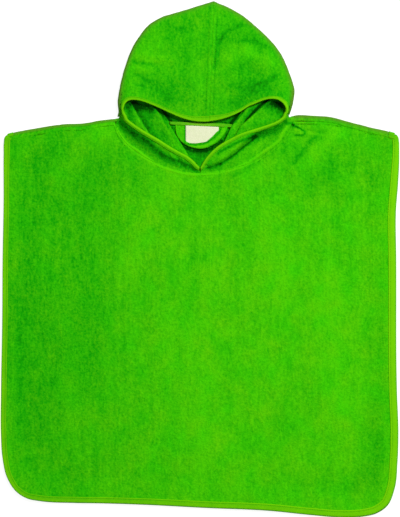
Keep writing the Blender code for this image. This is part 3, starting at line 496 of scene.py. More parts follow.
class PonchoSizes(bpy.types.PropertyGroup):
    """Thicknesses and widths of the cloth, the bindings and the stitching."""

    terry: length_setting("Terry", "Thickness of the terry cloth", 2.0, 1.0, 3.0)
    facing: length_setting("Half-moon", "Thickness of the half-moon in the neck", 1.5, 1.0, 3.0)
    tape: length_setting("Tape", "Thickness of the tape over the neck seam", 1.0, 0.4, 2.0)
    label: length_setting("Label", "Thickness of the blank label", 0.6, 0.2, 1.0)
    binding: length_setting("Binding", "Width of the binding on the body", 8.0, 5.0, 12.0)
    hood_binding: length_setting("Hood binding", "Width of the hood's binding", 4.2, 3.0, 8.0)
    binding_wall: length_setting("Binding cloth", "Thickness of the binding", 0.7, 0.4, 1.5)
    stitch: length_setting("Stitch", "Length of a stitch", 2.8, 1.5, 5.0)
    stitch_space: length_setting("Stitch space", "Space between two stitches", 0.9, 0.3, 3.0)
    thread: length_setting("Thread", "Thickness of the sewing thread", 0.5, 0.2, 1.0)


def colour_setting(name, description, default):
    """A colour that the user can set."""
    return FloatVectorProperty(name=name, description=description, default=default,
                               size=3, min=0.0, max=1.0, subtype="COLOR")


class PonchoColours(bpy.types.PropertyGroup):
    """Colours of the cloths, the thread and the floor."""

    terry: colour_setting("Terry", "Tips of the terry's loops", (0.050, 0.60, 0.002))
    terry_deep: colour_setting("Terry, deep", "Between the terry's loops", (0.0085, 0.365, 0.002))
    terry_warm: colour_setting("Terry, worn", "Where the terry's loops are open",
                               (0.105, 0.585, 0.002))
    # painted deep shadow of the terry, in the mouth, the V and along dark lines
    terry_shadow: colour_setting("Terry, ground", "The cloth under the loops",
                                 (0.001, 0.05, 0.001))
    # painted shade of the terry where it turns over at the hood's sides and the shoulders
    terry_edge_shade: colour_setting("Terry, turned", "Where the terry turns over",
                                 (0.095, 0.25, 0.016))
    binding: colour_setting("Binding", "Raised parts of the binding", (0.165, 0.62, 0.002))
    binding_deep: colour_setting("Binding, deep", "Between the binding's ribs",
                                 (0.055, 0.43, 0.002))
    # painted shade round the nose of the body's binding
    binding_edge_shade: colour_setting("Binding, turned", "Round the binding's fold",
                                   (0.18, 0.44, 0.035))
    tape: colour_setting("Tape", "Tape over the neck seam", (0.19, 0.54, 0.02))
    label: colour_setting("Label", "Cloth of the blank label", (0.83, 0.86, 0.62))
    label_deep: colour_setting("Label, deep", "Between the label's yarns", (0.62, 0.70, 0.40))
    thread: colour_setting("Thread", "Sewing thread", (0.09, 0.50, 0.005))
    floor: colour_setting("Floor", "Floor under the garment", (0.25, 0.25, 0.25))


class PonchoLight(bpy.types.PropertyGroup):
    """Strengths of the studio light, and the camera's height."""

    key: FloatProperty(name="Key", description="Power of the soft box", default=182.0,
                       min=0.0, subtype="POWER")
    sky: FloatProperty(name="Sky", description="Strength of the light from all round",
                       default=0.24, min=0.0)
    glow: FloatProperty(name="Floor glow", description="Light that the floor gives by itself",
                        default=0.9, min=0.0)
    camera: FloatProperty(name="Camera height", description="Height of the camera",
                          default=6.0, min=2.0, unit="LENGTH")


def size(name):
    """A length that the user can set, in millimetres."""
    return getattr(bpy.context.scene.poncho_sizes, name) / MM


# --------------------------------------------------------------- lines and heights
def eased(t):
    """0 to 1 with a soft start and end."""
    t = np.clip(t, 0.0, 1.0)
    return t * t * (3 - 2 * t)


def unit(vectors):
    """Vectors made one long."""
    return vectors / np.linalg.norm(vectors, axis=-1, keepdims=True)


def lengths_along(points):
    """Lengths from the start of a line of points to each of them."""
    return np.r_[0.0, np.cumsum(np.linalg.norm(np.diff(points, axis=0), axis=1))]


def arched(t):
    """0 at 0 and at 1, and 1 half way."""
    return 4 * t * (1 - t)


def with_height(points, height=0.0):
    """Flat points with a height."""
    return np.concatenate((points, np.full((*points.shape[:-1], 1), height)), axis=-1)


def curved(t, start, end, leaving, arriving):
    """Values at shares from start to end, on a curve with given slopes at both."""
    return ((2 * t**3 - 3 * t**2 + 1) * start + (t**3 - 2 * t**2 + t) * leaving
            + (3 * t**2 - 2 * t**3) * end + (t**3 - t**2) * arriving)


def smooth_line(points, shares):
    """Places on a smooth line through points, at shares of its length."""
    points = np.asarray(points, float)
    along = lengths_along(points)
    slopes = np.gradient(points, along, axis=0)
    wanted = np.asarray(shares) * along[-1]
    piece = np.clip(np.searchsorted(along, wanted, side="right") - 1, 0, len(points) - 2)
    run = np.diff(along)[piece][:, None]
    t = (wanted - along[piece])[:, None] / run
    return curved(t, points[piece], points[piece + 1], run * slopes[piece],
                  run * slopes[piece + 1])


def in_between(rows, steps, straight=False):
    """Rows of numbers with more rows between each two, along smooth or straight lines."""
    rows = np.asarray(rows, float).reshape(len(rows), -1)
    wanted = np.linspace(0, len(rows) - 1, (len(rows) - 1) * steps + 1)
    piece = np.clip(wanted.astype(int), 0, len(rows) - 2)
    t = (wanted - piece)[:, None]
    start, end = rows[piece], rows[piece + 1]
    if straight:
        return start + t * (end - start)
    slopes = np.gradient(rows, axis=0)
    return curved(t, start, end, slopes[piece], slopes[piece + 1])


def moved_in(line, distance):
    """A flat line moved sideways, to the left of the way that it runs."""
    way = unit(np.gradient(line, axis=0))
    return line + distance * np.stack((-way[:, 1], way[:, 0]), axis=1)


def away_from(line, points):
    """Distances in plan from points to a line, and 1 where they lie to its left, else -1."""
    line = np.asarray(line, float)
    start, way = line[:-1, :2], np.diff(line[:, :2], axis=0)
    apart = points[..., None, :2] - start
    along = np.clip(np.sum(apart * way, axis=-1) / np.sum(way * way, axis=-1), 0, 1)
    distance = np.linalg.norm(apart - along[..., None] * way, axis=-1)
    nearest = np.argmin(distance, axis=-1)[..., None]
    turn = way[:, 0] * apart[..., 1] - way[:, 1] * apart[..., 0]
    side = np.where(np.take_along_axis(turn, nearest, axis=-1)[..., 0] >= 0, 1.0, -1.0)
    return np.take_along_axis(distance, nearest, axis=-1)[..., 0], side


def creased(points, creases):
    """Heights that creases add at points."""
    height = np.zeros(points.shape[:-1])
    for crease in creases:
        distance, side = away_from(crease.line, points)
        width = np.where(side > 0, crease.left, crease.right)
        height += crease.rise * np.exp(-(distance / width) ** 2)
    return height


def seamed(distance, profile):
    """Heights beside a seam."""
    return np.interp(distance, [point.away for point in profile],
                     [point.rise for point in profile])


def near_line(points, line, most, width):
    """Values at points that fall off from the most on a line over a width."""
    return most * np.exp(-(away_from(line, points)[0] / width) ** 2)


def lumps(points, rows):
    """Smooth random heights at points, from rows of lump size, height and seed."""
    height = np.zeros(points.shape[:-1])
    for across, rise, seed in rows:
        lattice = np.random.default_rng(seed).uniform(-1, 1, (LATTICE,) * 3)
        cell = np.floor(points / across).astype(int)
        t = eased(points / across - cell)
        for corner in np.ndindex(2, 2, 2):
            weight = np.prod(np.where(corner, t, 1 - t), axis=-1)
            x, y, z = np.moveaxis((cell + corner) % LATTICE, -1, 0)
            height += rise * weight * lattice[x, y, z]
    return height


def pile_shades(points, shade, patches=(), creases=(), lines=()):
    """Shades of the pile at points, from 0 dark to 1 light, and below 0 for deep painted shadow;
    creases and lines paint shade and light into them.
    """
    shades = shade + CREASE_SHADE * creased(points, creases) + creased(points, lines)
    for patch in patches:
        apart = (points[..., :2] - (patch.x, patch.y)) / (patch.across, patch.along)
        shades += patch.shade * np.exp(-np.sum(apart * apart, axis=-1))
    return shades


def worn(points, lines, patches=()):
    """Painted shade at points, from 0 to 1, where the cloth turns over at lines."""
    wear_and_edge_shade = pile_shades(points, 0.0, patches)
    return wear_and_edge_shade + sum(near_line(points, line, 1.0, TURN_WIDTH) for line in lines)


def at_lengths(path, lengths):
    """Places along a path at given lengths from its start."""
    along = lengths_along(path)
    return np.column_stack([np.interp(lengths, along, values) for values in path.T])


def across_strip(strip, share):
    """Values in the rows of a strip at a share of the way across it."""
    index = np.clip(share, 0.0, 1.0) * (strip.shape[1] - 1)
    low = int(min(index, strip.shape[1] - 2))
    t = index - low
    return strip[:, low] * (1 - t) + strip[:, low + 1] * t


def spread(start, end, steps):
    """Even places after start up to end."""
    return np.linspace(start, end, steps + 1)[1:]


# ------------------------------------------------------------------- making meshes
def add_patch(bm, points):
    """A grid of faces laid through rows of points, which gives back its vertices."""
    rows, columns = points.shape[:2]
    made = bmesh.ops.create_grid(bm, x_segments=columns - 1, y_segments=rows - 1, size=1.0)
    for vert, point in zip(made["verts"], points.reshape(-1, 3)):
        vert.co = point * MM
    return made["verts"]


def new_mesh(name, bm):
    """A mesh with what a bmesh holds, which ends the bmesh."""
    mesh = bpy.data.meshes.new(name)
    bm.to_mesh(mesh)
    bm.free()
    return mesh


def add_piece(name, bm, material, nodes):
    """An object of one piece, which rides on the garment and stands for its nodes."""
    mesh = new_mesh(name, bm)
    mesh.shade_smooth()
    mesh.materials.append(material)
    piece = bpy.data.objects.new(name, mesh)
    bpy.context.scene.collection.objects.link(piece)
    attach(piece, "root")
    if nodes:
        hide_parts(*nodes)
    return piece


def add_cloth(name, patches, shades, thickness, relief, material, nodes, wear_and_edge_shade=None):
    """A piece of cloth: patches joined, given the lumps of its pile and its thickness.

    shades hold the pile's tone with its painted shade and light at each patch's points,
    the last argument the painted shade where the cloth turns over, and thickness is in millimetres.
    """
    bm = bmesh.new()
    # each point holds the pile's tone with its painted shade and light, and its painted shade where
    # the cloth turns over
    painted_shade_and_tone, turn = (bm.verts.layers.float.new(layer) for layer in ("painted_shade_and_tone", "turn"))
    for patch, shade, turned in zip(patches, shades, wear_and_edge_shade or [shade * 0 for shade in shades]):
        values = np.stack((shade.ravel(), turned.ravel()), axis=1).tolist()
        for vert, (shade_here, edge_shade_here) in zip(add_patch(bm, patch), values):
            vert[painted_shade_and_tone], vert[turn] = shade_here, edge_shade_here
    bmesh.ops.remove_doubles(bm, verts=bm.verts, dist=WELD * MM)
    bmesh.ops.dissolve_degenerate(bm, edges=bm.edges, dist=WELD / 2 * MM)
    bmesh.ops.recalc_face_normals(bm, faces=bm.faces)
    bm.normal_update()
    places = np.array([vert.co for vert in bm.verts]) / MM
    for vert, rise in zip(bm.verts, (lumps(places, relief) * MM).tolist()):
        vert.co += rise * vert.normal
    piece = add_piece(name, bm, material, nodes)
    wall = piece.modifiers.new("wall", "SOLIDIFY")
    wall.thickness = thickness * MM
    wall.offset = 0.0
    return piece


# ------------------------------------------------------------------------ finishes
def new_group(name, colours, values=()):
    """A node group from colours and values to a colour and a height, and both its ends."""
    group = bpy.data.node_groups.new(name, "ShaderNodeTree")
    for socket in (*colours, *values):
        kind = "NodeSocketColor" if socket in colours else "NodeSocketFloat"
        group.interface.new_socket(name=socket, in_out="INPUT", socket_type=kind)
    for socket, kind in (("Colour", "NodeSocketColor"), ("Height", "NodeSocketFloat")):
        group.interface.new_socket(name=socket, in_out="OUTPUT", socket_type=kind)
    return group, group.nodes.new("NodeGroupInput"), group.nodes.new("NodeGroupOutput")


def feed(tree, value, socket):
    """Give a socket a value, or link it to the socket that has one."""
    if isinstance(value, bpy.types.NodeSocket):
        tree.links.new(value, socket)
    else:
        socket.default_value = value


def computed(tree, kind, output, inputs):
    """An output of a new node with these inputs."""
    node = tree.nodes.new("ShaderNode" + kind)
    for name, value in inputs.items():
        feed(tree, value, node.inputs[name])
    return node.outputs[output]


def math(tree, operation, first, second):
    """A Math node on two values or sockets."""
    node = tree.nodes.new("ShaderNodeMath")
    node.operation = operation
    feed(tree, first, node.inputs[0])
    feed(tree, second, node.inputs[1])
    return node.outputs[0]


def mixed(tree, factor, first, second):
    """A colour between two colours."""
    node = tree.nodes.new("ShaderNodeMix")
    node.data_type = "RGBA"
    tree.links.new(factor, node.inputs["Factor"])
    sockets = [socket for socket in node.inputs if socket.type == "RGBA"]
    for socket, value in zip(sockets, (first, second)):
        tree.links.new(value, socket)
    return [socket for socket in node.outputs if socket.type == "RGBA"][0]


def attribute(tree, name):
    """A value that the piece holds at each of its points."""
    node = tree.nodes.new("ShaderNodeAttribute")
    node.attribute_name = name
    return node.outputs["Fac"]


def noise(tree, place, look):
    """A soft random value from a place, stretched along the axes."""
    stretched = computed(tree, "Mapping", "Vector", {"Vector": place, "Scale": look.stretch})
    return computed(tree, "TexNoise", "Fac",
                    {"Vector": stretched, "Scale": look.scale, "Detail": look.detail})


def widened(tree, value, low, high):
    """A value stretched from low and high to 0 and 1."""
    return computed(tree, "MapRange", "Result",
                    {"Value": value, "From Min": low, "From Max": high})


def clamped(tree, value):
    """A value kept from 0 to 1."""
    return widened(tree, value, 0.0, 1.0)


def centred(tree, value):
    """A random value moved to lie around 0."""
    return math(tree, "SUBTRACT", value, 0.5)


def weighed(tree, parts):
    """The sum of values times their weights."""
    total = None
    for value, weight in parts:
        term = math(tree, "MULTIPLY", value, weight)
        total = term if total is None else math(tree, "ADD", total, term)
    return total


def cells(tree, place, scale):
    """The cells of a cloth's loops or yarns: 1 at their middles and less at their rims."""
    distance = computed(tree, "TexVoronoi", "Distance", {"Vector": place, "Scale": scale})
    return math(tree, "SUBTRACT", 1.0, distance)


def terry_group():
    """The looks of terry: loops and tufts, brushed patches, the broad lie of its pile, and the
    painted shade and light held at its points, down to a painted deep shadow and a painted shade
    where it turns over.
    """
    group, start, end = new_group("terry_loops", ("Tips", "Deep", "Warm", "Shadow", "EdgeShade"))
    place = computed(group, "TexCoord", "Object", {})
    parts = [(cells(group, place, LOOPS.scale), LOOPS)]
    parts += [(noise(group, place, look), look) for look in PILE_NOISES]
    parts = [(centred(group, part), look) for part, look in parts]
    light = weighed(group, [(attribute(group, "painted_shade_and_tone"), 1.0)]
                    + [(part, look.shade) for part, look in parts])
    warm = math(group, "MULTIPLY", centred(group, noise(group, place, WARMTH)), WARMTH.shade)
    warmth = clamped(group, math(group, "ADD", warm, WARM_LEVEL))
    tips = mixed(group, warmth, start.outputs["Tips"], start.outputs["Warm"])
    shade = mixed(group, clamped(group, light), start.outputs["Deep"], tips)
    # painted deep shadow where the shade falls below 0
    shadowed = clamped(group, math(group, "MULTIPLY", light, -1.0))
    shade = mixed(group, shadowed, shade, start.outputs["Shadow"])
    # painted shade where the cloth turns over
    turned = clamped(group, attribute(group, "turn"))
    shade = mixed(group, turned, shade, start.outputs["EdgeShade"])
    group.links.new(shade, end.inputs["Colour"])
    height = weighed(group, [(part, look.relief) for part, look in parts if look.relief])
    group.links.new(height, end.inputs["Height"])
    return group


def woven_group():
    """The looks of smooth woven cloth: its yarns, their slubs and soft worn patches, with the
    painted highlights and shade held at its points, and a painted shade round a binding's nose.
    """
    group, start, end = new_group("woven_ribs", ("Raised", "Deep", "EdgeShade"), ("Ribs",))
    place = computed(group, "TexCoord", "Object", {})
    yarns = cells(group, place, start.outputs["Ribs"])
    slubs = widened(group, noise(group, place, SLUBS), *SLUB_RANGE)
    wear_and_edge_shade = centred(group, noise(group, place, WOVEN_WEAR))
    painted_shade_and_tone = attribute(group, "painted_shade_and_tone")
    light = weighed(group, ((painted_shade_and_tone, WOVEN_NAP), (yarns, YARNS.shade), (slubs, SLUBS.shade),
                            (wear_and_edge_shade, WOVEN_WEAR.shade)))
    shade = mixed(group, clamped(group, light), start.outputs["Deep"], start.outputs["Raised"])
    # painted shade round a binding's nose
    turned = clamped(group, math(group, "MULTIPLY", painted_shade_and_tone, TURN_GAIN))
    shade = mixed(group, turned, shade, start.outputs["EdgeShade"])
    group.links.new(shade, end.inputs["Colour"])
    height = weighed(group, ((yarns, YARNS.relief), (slubs, SLUBS.relief)))
    group.links.new(height, end.inputs["Height"])
    return group


def cloth_material(name, group, settings, tint, surface):
    """A cloth's material: a group's colour and height on a Principled shader.

    settings are the group's input values, and tint the one that colours the sheen.
    """
    material = bpy.data.materials.new(name)
    material.use_nodes = True
    tree = material.node_tree
    shader = tree.nodes["Principled BSDF"]
    shader.inputs["Roughness"].default_value = surface.roughness
    shader.inputs["Specular IOR Level"].default_value = surface.shine
    shader.inputs["Sheen Weight"].default_value = surface.sheen
    shader.inputs["Sheen Roughness"].default_value = SHEEN_ROUGHNESS
    shader.inputs["Sheen Tint"].default_value = (*settings[tint][:3], 1.0)
    looks = tree.nodes.new("ShaderNodeGroup")
    looks.node_tree = group
    for socket, value in settings.items():
        looks.inputs[socket].default_value = value
    relief = {"Distance": surface.relief * MM, "Height": looks.outputs["Height"]}
    tree.links.new(looks.outputs["Colour"], shader.inputs["Base Color"])
    tree.links.new(computed(tree, "Bump", "Normal", relief), shader.inputs["Normal"])
    return material


def finish(name):
    """The material of a finish, made the first time that it is asked for."""
    title = name + "_cloth"
    if title in bpy.data.materials:
        return bpy.data.materials[title]
    colours = bpy.context.scene.poncho_colours
    shades = {
        "terry": (colours.terry, colours.terry_deep),
        "binding": (colours.binding, colours.binding_deep),
        "tape": (colours.tape, colours.binding_deep),
        "label": (colours.label, colours.label_deep),
        "thread": (colours.thread, colours.binding_deep),
    }
    raised, deep = ((*shade, 1.0) for shade in shades[name])
    if name == "terry":
        group = bpy.data.node_groups.get("terry_loops") or terry_group()
        settings = {"Tips": raised, "Deep": deep, "Warm": (*colours.terry_warm, 1.0),
                    "Shadow": (*colours.terry_shadow, 1.0),
                    "EdgeShade": (*colours.terry_edge_shade, 1.0)}
        return cloth_material(title, group, settings, "Tips", TERRY_SURFACE)
    group = bpy.data.node_groups.get("woven_ribs") or woven_group()
    settings = {"Raised": raised, "Deep": deep, "EdgeShade": (*colours.binding_edge_shade, 1.0),
                "Ribs": YARNS.scale}
    return cloth_material(title, group, settings, "Raised", WOVEN_SURFACE)


# ----------------------------------------------------------------- the body panels
def beyond_edge(distance, ease):
    """0 inside a binding, then softly up to 1 over the next ease millimetres."""
    return eased((distance - BIND_NOSE - size("binding")) / ease)


def shoulder_roll(points, width, columns):
    """Rows of a shoulder's roll, from the back panel over to the front, and the front's edge."""
    length = np.linalg.norm(np.subtract(points[-1], points[0]))
    start = (BIND_NOSE + size("binding")) / length
    shares = np.r_[BIND_NOSE / length, start + (1 - start) * np.linspace(0, 1, columns)]
    line, reach = smooth_line(points, shares), shares * length
    low = BACK_EDGE_Z + (BACK_Z - BACK_EDGE_Z) * beyond_edge(reach, BACK_EASE)
    high = SHOULDER_END_Z + (SHOULDER_Z - SHOULDER_END_Z) * beyond_edge(reach, FRONT_EASE)
    radius = (high - low) / 2
    rows = []
    for step in range(ROLL_STEPS + 1):
        angle = pi * step / ROLL_STEPS
        ahead = radius * (sin(angle) - 1) - size("terry") / 2
        rows.append(np.column_stack((line[:, 0], line[:, 1] + ahead,
                                     low + radius * (1 - cos(angle)))))
    front = np.column_stack((line[:, 0], line[:, 1] - width, high))
    for step in range(1, ROLL_REST + 1):
        rows.append(rows[ROLL_STEPS] + (front - rows[ROLL_STEPS]) * step / ROLL_REST)
    return np.array(rows), front


def row_shares(count):
    """Shares down a side, closer together at its top."""
    even = np.linspace(0, 1, count)
    return even - ROW_CROWDING * even * (1 - even)


def hem_shares(mesh):
    """Shares along the hem for a panel's columns."""
    left = np.linspace(0, LEFT_SHARE, mesh.shoulder)
    middle = np.linspace(LEFT_SHARE, 1 - RIGHT_SHARE, mesh.neck)
    right = np.linspace(1 - RIGHT_SHARE, 1, mesh.shoulder)
    return np.r_[left, middle[1:-1], right]


def round_edge(left, hem, right):
    """One line down the left side, along the hem and up the right side."""
    return np.concatenate((left, hem[1:-1], right[::-1]))


def edge_lines(mesh, shift):
    """The cloth's edge and the binding's inner line: left side, hem and right side of each."""
    rows = mesh.rows
    outline = np.array(LEFT_SIDE + HEM[1:] + RIGHT_SIDE[-2::-1])
    along = lengths_along(outline)
    left, right = along[[len(LEFT_SIDE) - 1, len(LEFT_SIDE) + len(HEM) - 2]] / along[-1]
    down = row_shares(rows)
    lines = []
    for shares in (left * down, left + (right - left) * hem_shares(mesh), 1 - (1 - right) * down):
        line = smooth_line(outline, shares)
        lowered = eased((LEFT_SIDE[0][1] - line[:, 1]) / SHIFT_RUN)
        lines.append(line + lowered[:, None] * shift)
    ring = round_edge(*lines)
    aside, lowered = ring[:, 0] / BODY_HALF, eased((LEFT_SIDE[0][1] - ring[:, 1]) / SHIFT_RUN)
    width = size("binding") + BIND_SPREAD * aside * lowered
    found = []
    for reach in (0.0 * width, width):
        moved = moved_in(ring, BIND_NOSE + reach[:, None])
        found.append((moved[:rows], moved[rows - 1:len(moved) - rows + 1],
                      moved[:-rows - 1:-1]))
    return found


def front_seam():
    """The neck seam on the front, from left to right."""
    return np.array([section.seam for section in LEFT_BAND + RIGHT_BAND[::-1]])


def front_height(points, ring):
    """Heights of the front panel's middle surface."""
    share = beyond_edge(away_from(ring, points)[0] + BIND_NOSE, FRONT_EASE)
    flat = eased(away_from(front_seam(), points)[0] / SEAM_RUN)
    lift = (SEAM_Z - FRONT_Z - FRONT_LOFT) * (1 - flat)
    loose = share * flat
    shoulder = (share * (SHOULDER_Z - FRONT_Z - FRONT_LOFT)
                + (1 - share) * (SHOULDER_END_Z - FRONT_EDGE_Z))
    for line, width in ((LEFT_SHOULDER, LEFT_ROLL), (RIGHT_SHOULDER, RIGHT_ROLL)):
        away = away_from(np.subtract(line, (0.0, width)), points)[0]
        flat = eased(away / SHOULDER_RUN)
        lift += share * seamed(away, SHOULDER_SEAM) + shoulder * (1 - flat)
        loose *= flat
    height = FRONT_EDGE_Z + (FRONT_Z + FRONT_LOFT - FRONT_EDGE_Z) * share
    height += loose * (creased(points, FRONT_CREASES) + lumps(points, SLACK_LUMPS))
    return np.maximum(height, FRONT_Z) + lift + near_line(points, NECK_RIDGE, *RIDGE)


def back_height(points, ring):
    """Heights of the back panel's middle surface."""
    share = beyond_edge(away_from(ring, points)[0] + BIND_NOSE, BACK_EASE)
    return BACK_EDGE_Z + (BACK_Z - BACK_EDGE_Z) * share


def panel_patches(top, ends, mesh, shift, height_of):
    """A body panel's patches: the cloth between the bindings, and its bound edge.

    ends are the two ends of the cloth's edge, on the shoulders.
    """
    edge, (left, hem, right) = edge_lines(mesh, shift)
    ring = round_edge(*edge)
    u = hem_shares(mesh)[None, :, None]
    v = row_shares(mesh.rows)[:, None, None]
    flat_top = top[:, :2]
    left[0], right[0] = flat_top[0], flat_top[-1]
    corners = ((1 - v) * ((1 - u) * flat_top[0] + u * flat_top[-1])
               + v * ((1 - u) * hem[0] + u * hem[-1]))
    middle = with_height((1 - v) * flat_top + v * hem + (1 - u) * left[:, None]
                         + u * right[:, None] - corners)
    middle[..., 2] = height_of(middle, ring)
    middle[0] = top
    outer = with_height(ring)
    outer[:, 2] = height_of(outer, ring)
    outer[0], outer[-1] = ends
    inner = round_edge(middle[:, 0], middle[-1], middle[:, -1])
    return middle, np.stack((outer, inner), axis=1)


def back_neck():
    """The back panel's neck edge, from left to right."""
    roll = (SHOULDER_Z - BACK_Z + size("terry")) / 2
    left_end, right_end = (np.subtract(point, (0.0, roll)) for point in (LEFT_TUCK, RIGHT_TUCK))
    seam = [section.neck for section in LEFT_HOOD[::-1] + RIGHT_HOOD[1:] if not section.foot]
    points = np.vstack((left_end, np.array(seam)[:, :2] + (0.0, NECK_LAP), right_end))
    lengths = np.linspace(0, 1, BACK_MESH.neck) * lengths_along(points)[-1]
    return with_height(at_lengths(points, lengths), BACK_Z)


def back_patches():
    """Patches of the back panel: the middle, its bound edge and both shoulder rolls."""
    left_roll, _ = shoulder_roll((*LEFT_SHOULDER, LEFT_TUCK), LEFT_ROLL, BACK_MESH.shoulder)
    right_roll, _ = shoulder_roll((*RIGHT_SHOULDER, RIGHT_TUCK), RIGHT_ROLL, BACK_MESH.shoulder)
    top = np.concatenate((left_roll[0, 1:], back_neck()[1:-1], right_roll[0, :0:-1]))
    middle, ring = panel_patches(top, (left_roll[0, 0], right_roll[0, 0]), BACK_MESH,
                                 BACK_SHIFT, back_height)
    return middle, ring, left_roll, right_roll


def front_patches():
    """Patches of the front panel: the middle and its bound edge."""
    _, left_top = shoulder_roll(LEFT_SHOULDER, LEFT_ROLL, FRONT_MESH.shoulder)
    _, right_top = shoulder_roll(RIGHT_SHOULDER, RIGHT_ROLL, FRONT_MESH.shoulder)
    neck = with_height(smooth_line(front_seam(), np.linspace(0, 1, FRONT_MESH.neck)))
    neck[:, 2] = front_height(neck, round_edge(*edge_lines(FRONT_MESH, (0.0, 0.0))[0]))
    neck[0], neck[-1] = left_top[-1], right_top[-1]
    top = np.concatenate((left_top[1:], neck[1:-1], right_top[:0:-1]))
    return panel_patches(top, (left_top[0], right_top[0]), FRONT_MESH, (0.0, 0.0),
                         front_height)


# ------------------------------------------------------------------------ the hood
def hood_section(lip, crown, side, heights, beneath, neck):
    """Rows of a section of the hood, from the lip over and under to the neck."""
    top, low = heights
    half_height = (top - low) / 2
    out = side - lip[:2]
    length = np.linalg.norm(out)
    out /= length
    reach = min(FOLD_REACH * half_height, length / 2)
    turn = side - (reach + size("terry") / 2) * out
    t = np.linspace(0, 1, SAMPLES)[:, None]
    over = np.hstack((lip[:2] + t * (turn - lip[:2]),
                      lip[2] + (top - lip[2]) * eased(t) + crown * arched(t)))
    over[:, 2] += creased(over, HOOD_CREASES) * eased(arched(t[:, 0]))
    angle = np.linspace(0, pi, SAMPLES)[1:, None]
    fold = np.hstack((turn + reach * np.sin(angle) * out,
                      low + half_height * (1 + np.cos(angle))))
    under = smooth_line((fold[-1], beneath, neck), t[1:, 0])
    path = np.vstack((over, fold, under))
    runs = np.linalg.norm(np.diff(path, axis=0), axis=1)
    fold_start = np.sum(runs[:SAMPLES - 1])
    fold_end = np.sum(runs[:2 * SAMPLES - 2])
    rows = HOOD_ROWS
    width = size("hood_binding") + LIP_SPREAD * np.exp(-((lip[0] - LIP_MIDDLE) / LIP_RUN) ** 2)
    first = min(width, LIP_SHARE * fold_start)
    lengths = np.r_[np.linspace(0, first, rows.lip), spread(first, fold_start, rows.top),
                    spread(fold_start, fold_end, rows.fold),
                    spread(fold_end, np.sum(runs), rows.under)]
    return at_lengths(path, lengths)


def band_section(lip, seam, roll, crease):
    """Rows of a section of the hood's lower band, from the lip down to the neck seam."""
    way = seam - lip[:2]
    length = np.linalg.norm(way)
    t = np.linspace(0, 1, 2 * SAMPLES)[:, None]
    smooth = eased(t * length / (length - min(SEAM_FLAT, SEAM_SHARE * length)))
    plain = lip[2] + (SEAM_Z - lip[2]) * smooth + roll * np.sin(pi * t) * (1 - t)
    share = eased(crease / CREASE_FULL)
    crease = max(crease, CREASE_LEAST)
    foot = SEAM_Z + CREASE_FOOT * (1 - eased((t - crease) / (1 - crease)))
    fall = eased((t - crease + CREASE_LEAD) / CREASE_FALL)
    folded = lip[2] + (foot - lip[2]) * fall + roll * np.sin(pi * np.clip(t / crease, 0, 1))
    height = plain + (folded - plain) * share
    path = np.hstack((lip[:2] + t * way, height))
    path[:, 2] += creased(path, BAND_CREASES) * np.sin(pi * t[:, 0])
    path[:, 2] += near_line(path, NECK_RIDGE, *RIDGE) * eased(2 * t[:, 0] - 1)
    whole = np.sum(np.linalg.norm(np.diff(path, axis=0), axis=1))
    first = min(size("hood_binding"), LIP_SHARE * whole)
    lengths = np.r_[np.linspace(0, first, HOOD_ROWS.lip), spread(first, whole, HOOD_ROWS.top)]
    return at_lengths(path, lengths)


def column_of(sections, name, straight=False):
    """A column of a table of sections, with the stations between them."""
    return in_between([getattr(section, name) for section in sections], SECTION_STEPS, straight)


def lower_band(hood, band, start):
    """Rows of a half's lower band, which go on from the last rows of its top layer."""
    joined = [BandSection(hood[-1].lip, hood[-1].side, 0.0, 0.0)] + band
    lips, seams = (column_of(joined, name) for name in ("lip", "seam"))
    rolls, creases = (column_of(joined, name, True)[:, 0] for name in ("roll", "crease"))
    lower = [start]
    for k in range(1, len(lips)):
        rows = band_section(lips[k], seams[k], rolls[k], creases[k])
        near = max(0.0, 1 - k / SECTION_STEPS)
        lower.append(rows + near * (start - start[0] - rows + rows[0]))
    return np.array(lower)


def hood_patches(hood, band):
    """Patches of one half of the hood: its layers, the pleats in its mouth, its lower band."""
    smooth = [column_of(hood, name) for name in ("lip", "crown", "side", "top", "low")]
    sharp = [column_of(hood, name, True) for name in ("beneath", "neck")]
    layers = np.array([hood_section(lip, crown[0], side, (top[0], low[0]), beneath, neck)
                       for lip, crown, side, top, low, beneath, neck in zip(*smooth, *sharp)])
    over = layers[:, :OVER_ROWS]
    over[..., 2] += seamed(away_from(layers[0, :OVER_ROWS], over)[0], HOOD_SEAM)
    feet = column_of([section for section in hood if section.foot], "foot", True)
    mouth = np.linspace(layers[-len(feet):, -1], feet, HOOD_ROWS.mouth, axis=1)
    first = OVER_ROWS + HOOD_ROWS.fold
    pleated = np.concatenate((layers[-len(feet):, first:], mouth[:, 1:]), axis=1)
    height = pleated[..., 2]
    for _ in range(SOFTENED):
        height[1:-1] = (height[:-2] + 2 * height[1:-1] + height[2:]) / 4
    layers[-len(feet):, first:] = pleated[:, :HOOD_ROWS.under]
    return layers, pleated[:, HOOD_ROWS.under - 1:], lower_band(hood, band, over[-1])


def hood_shades(layers, mouth, lower, hood):
    """Shades of the pile at the points of a half's patches, with painted shadow in the mouth behind
    the upper lip and painted shade and light along creases and lines.
    """
    lip = [section.lip for section in hood]
    shades = pile_shades(layers, HOOD_SHADE, HOOD_TONE_AND_SHADE_PATCHES, HOOD_CREASES, HOOD_LINES)
    shade, width = SEAM_STITCH_SHADES
    away = away_from(layers[0, :OVER_ROWS], layers)[0]
    shades += shade * np.exp(-((away - SEAM_STITCH) / width) ** 2)
    under, inner = (pile_shades(patch, MOUTH_SHADE, MOUTH_SHADOW_PATCHES, lines=MOUTH_LINES)
                    + sum(near_line(patch, lip, *row) for row in LIP_SHADOWS)
                    for patch in (layers[:, OVER_ROWS:], mouth))
    shades[:, OVER_ROWS:] = under
    band = pile_shades(lower, BAND_SHADE, creases=BAND_CREASES, lines=BAND_LINES)
    return shades, inner, band + near_line(lower, NECK_RIDGE, *RIDGE_SHADES)


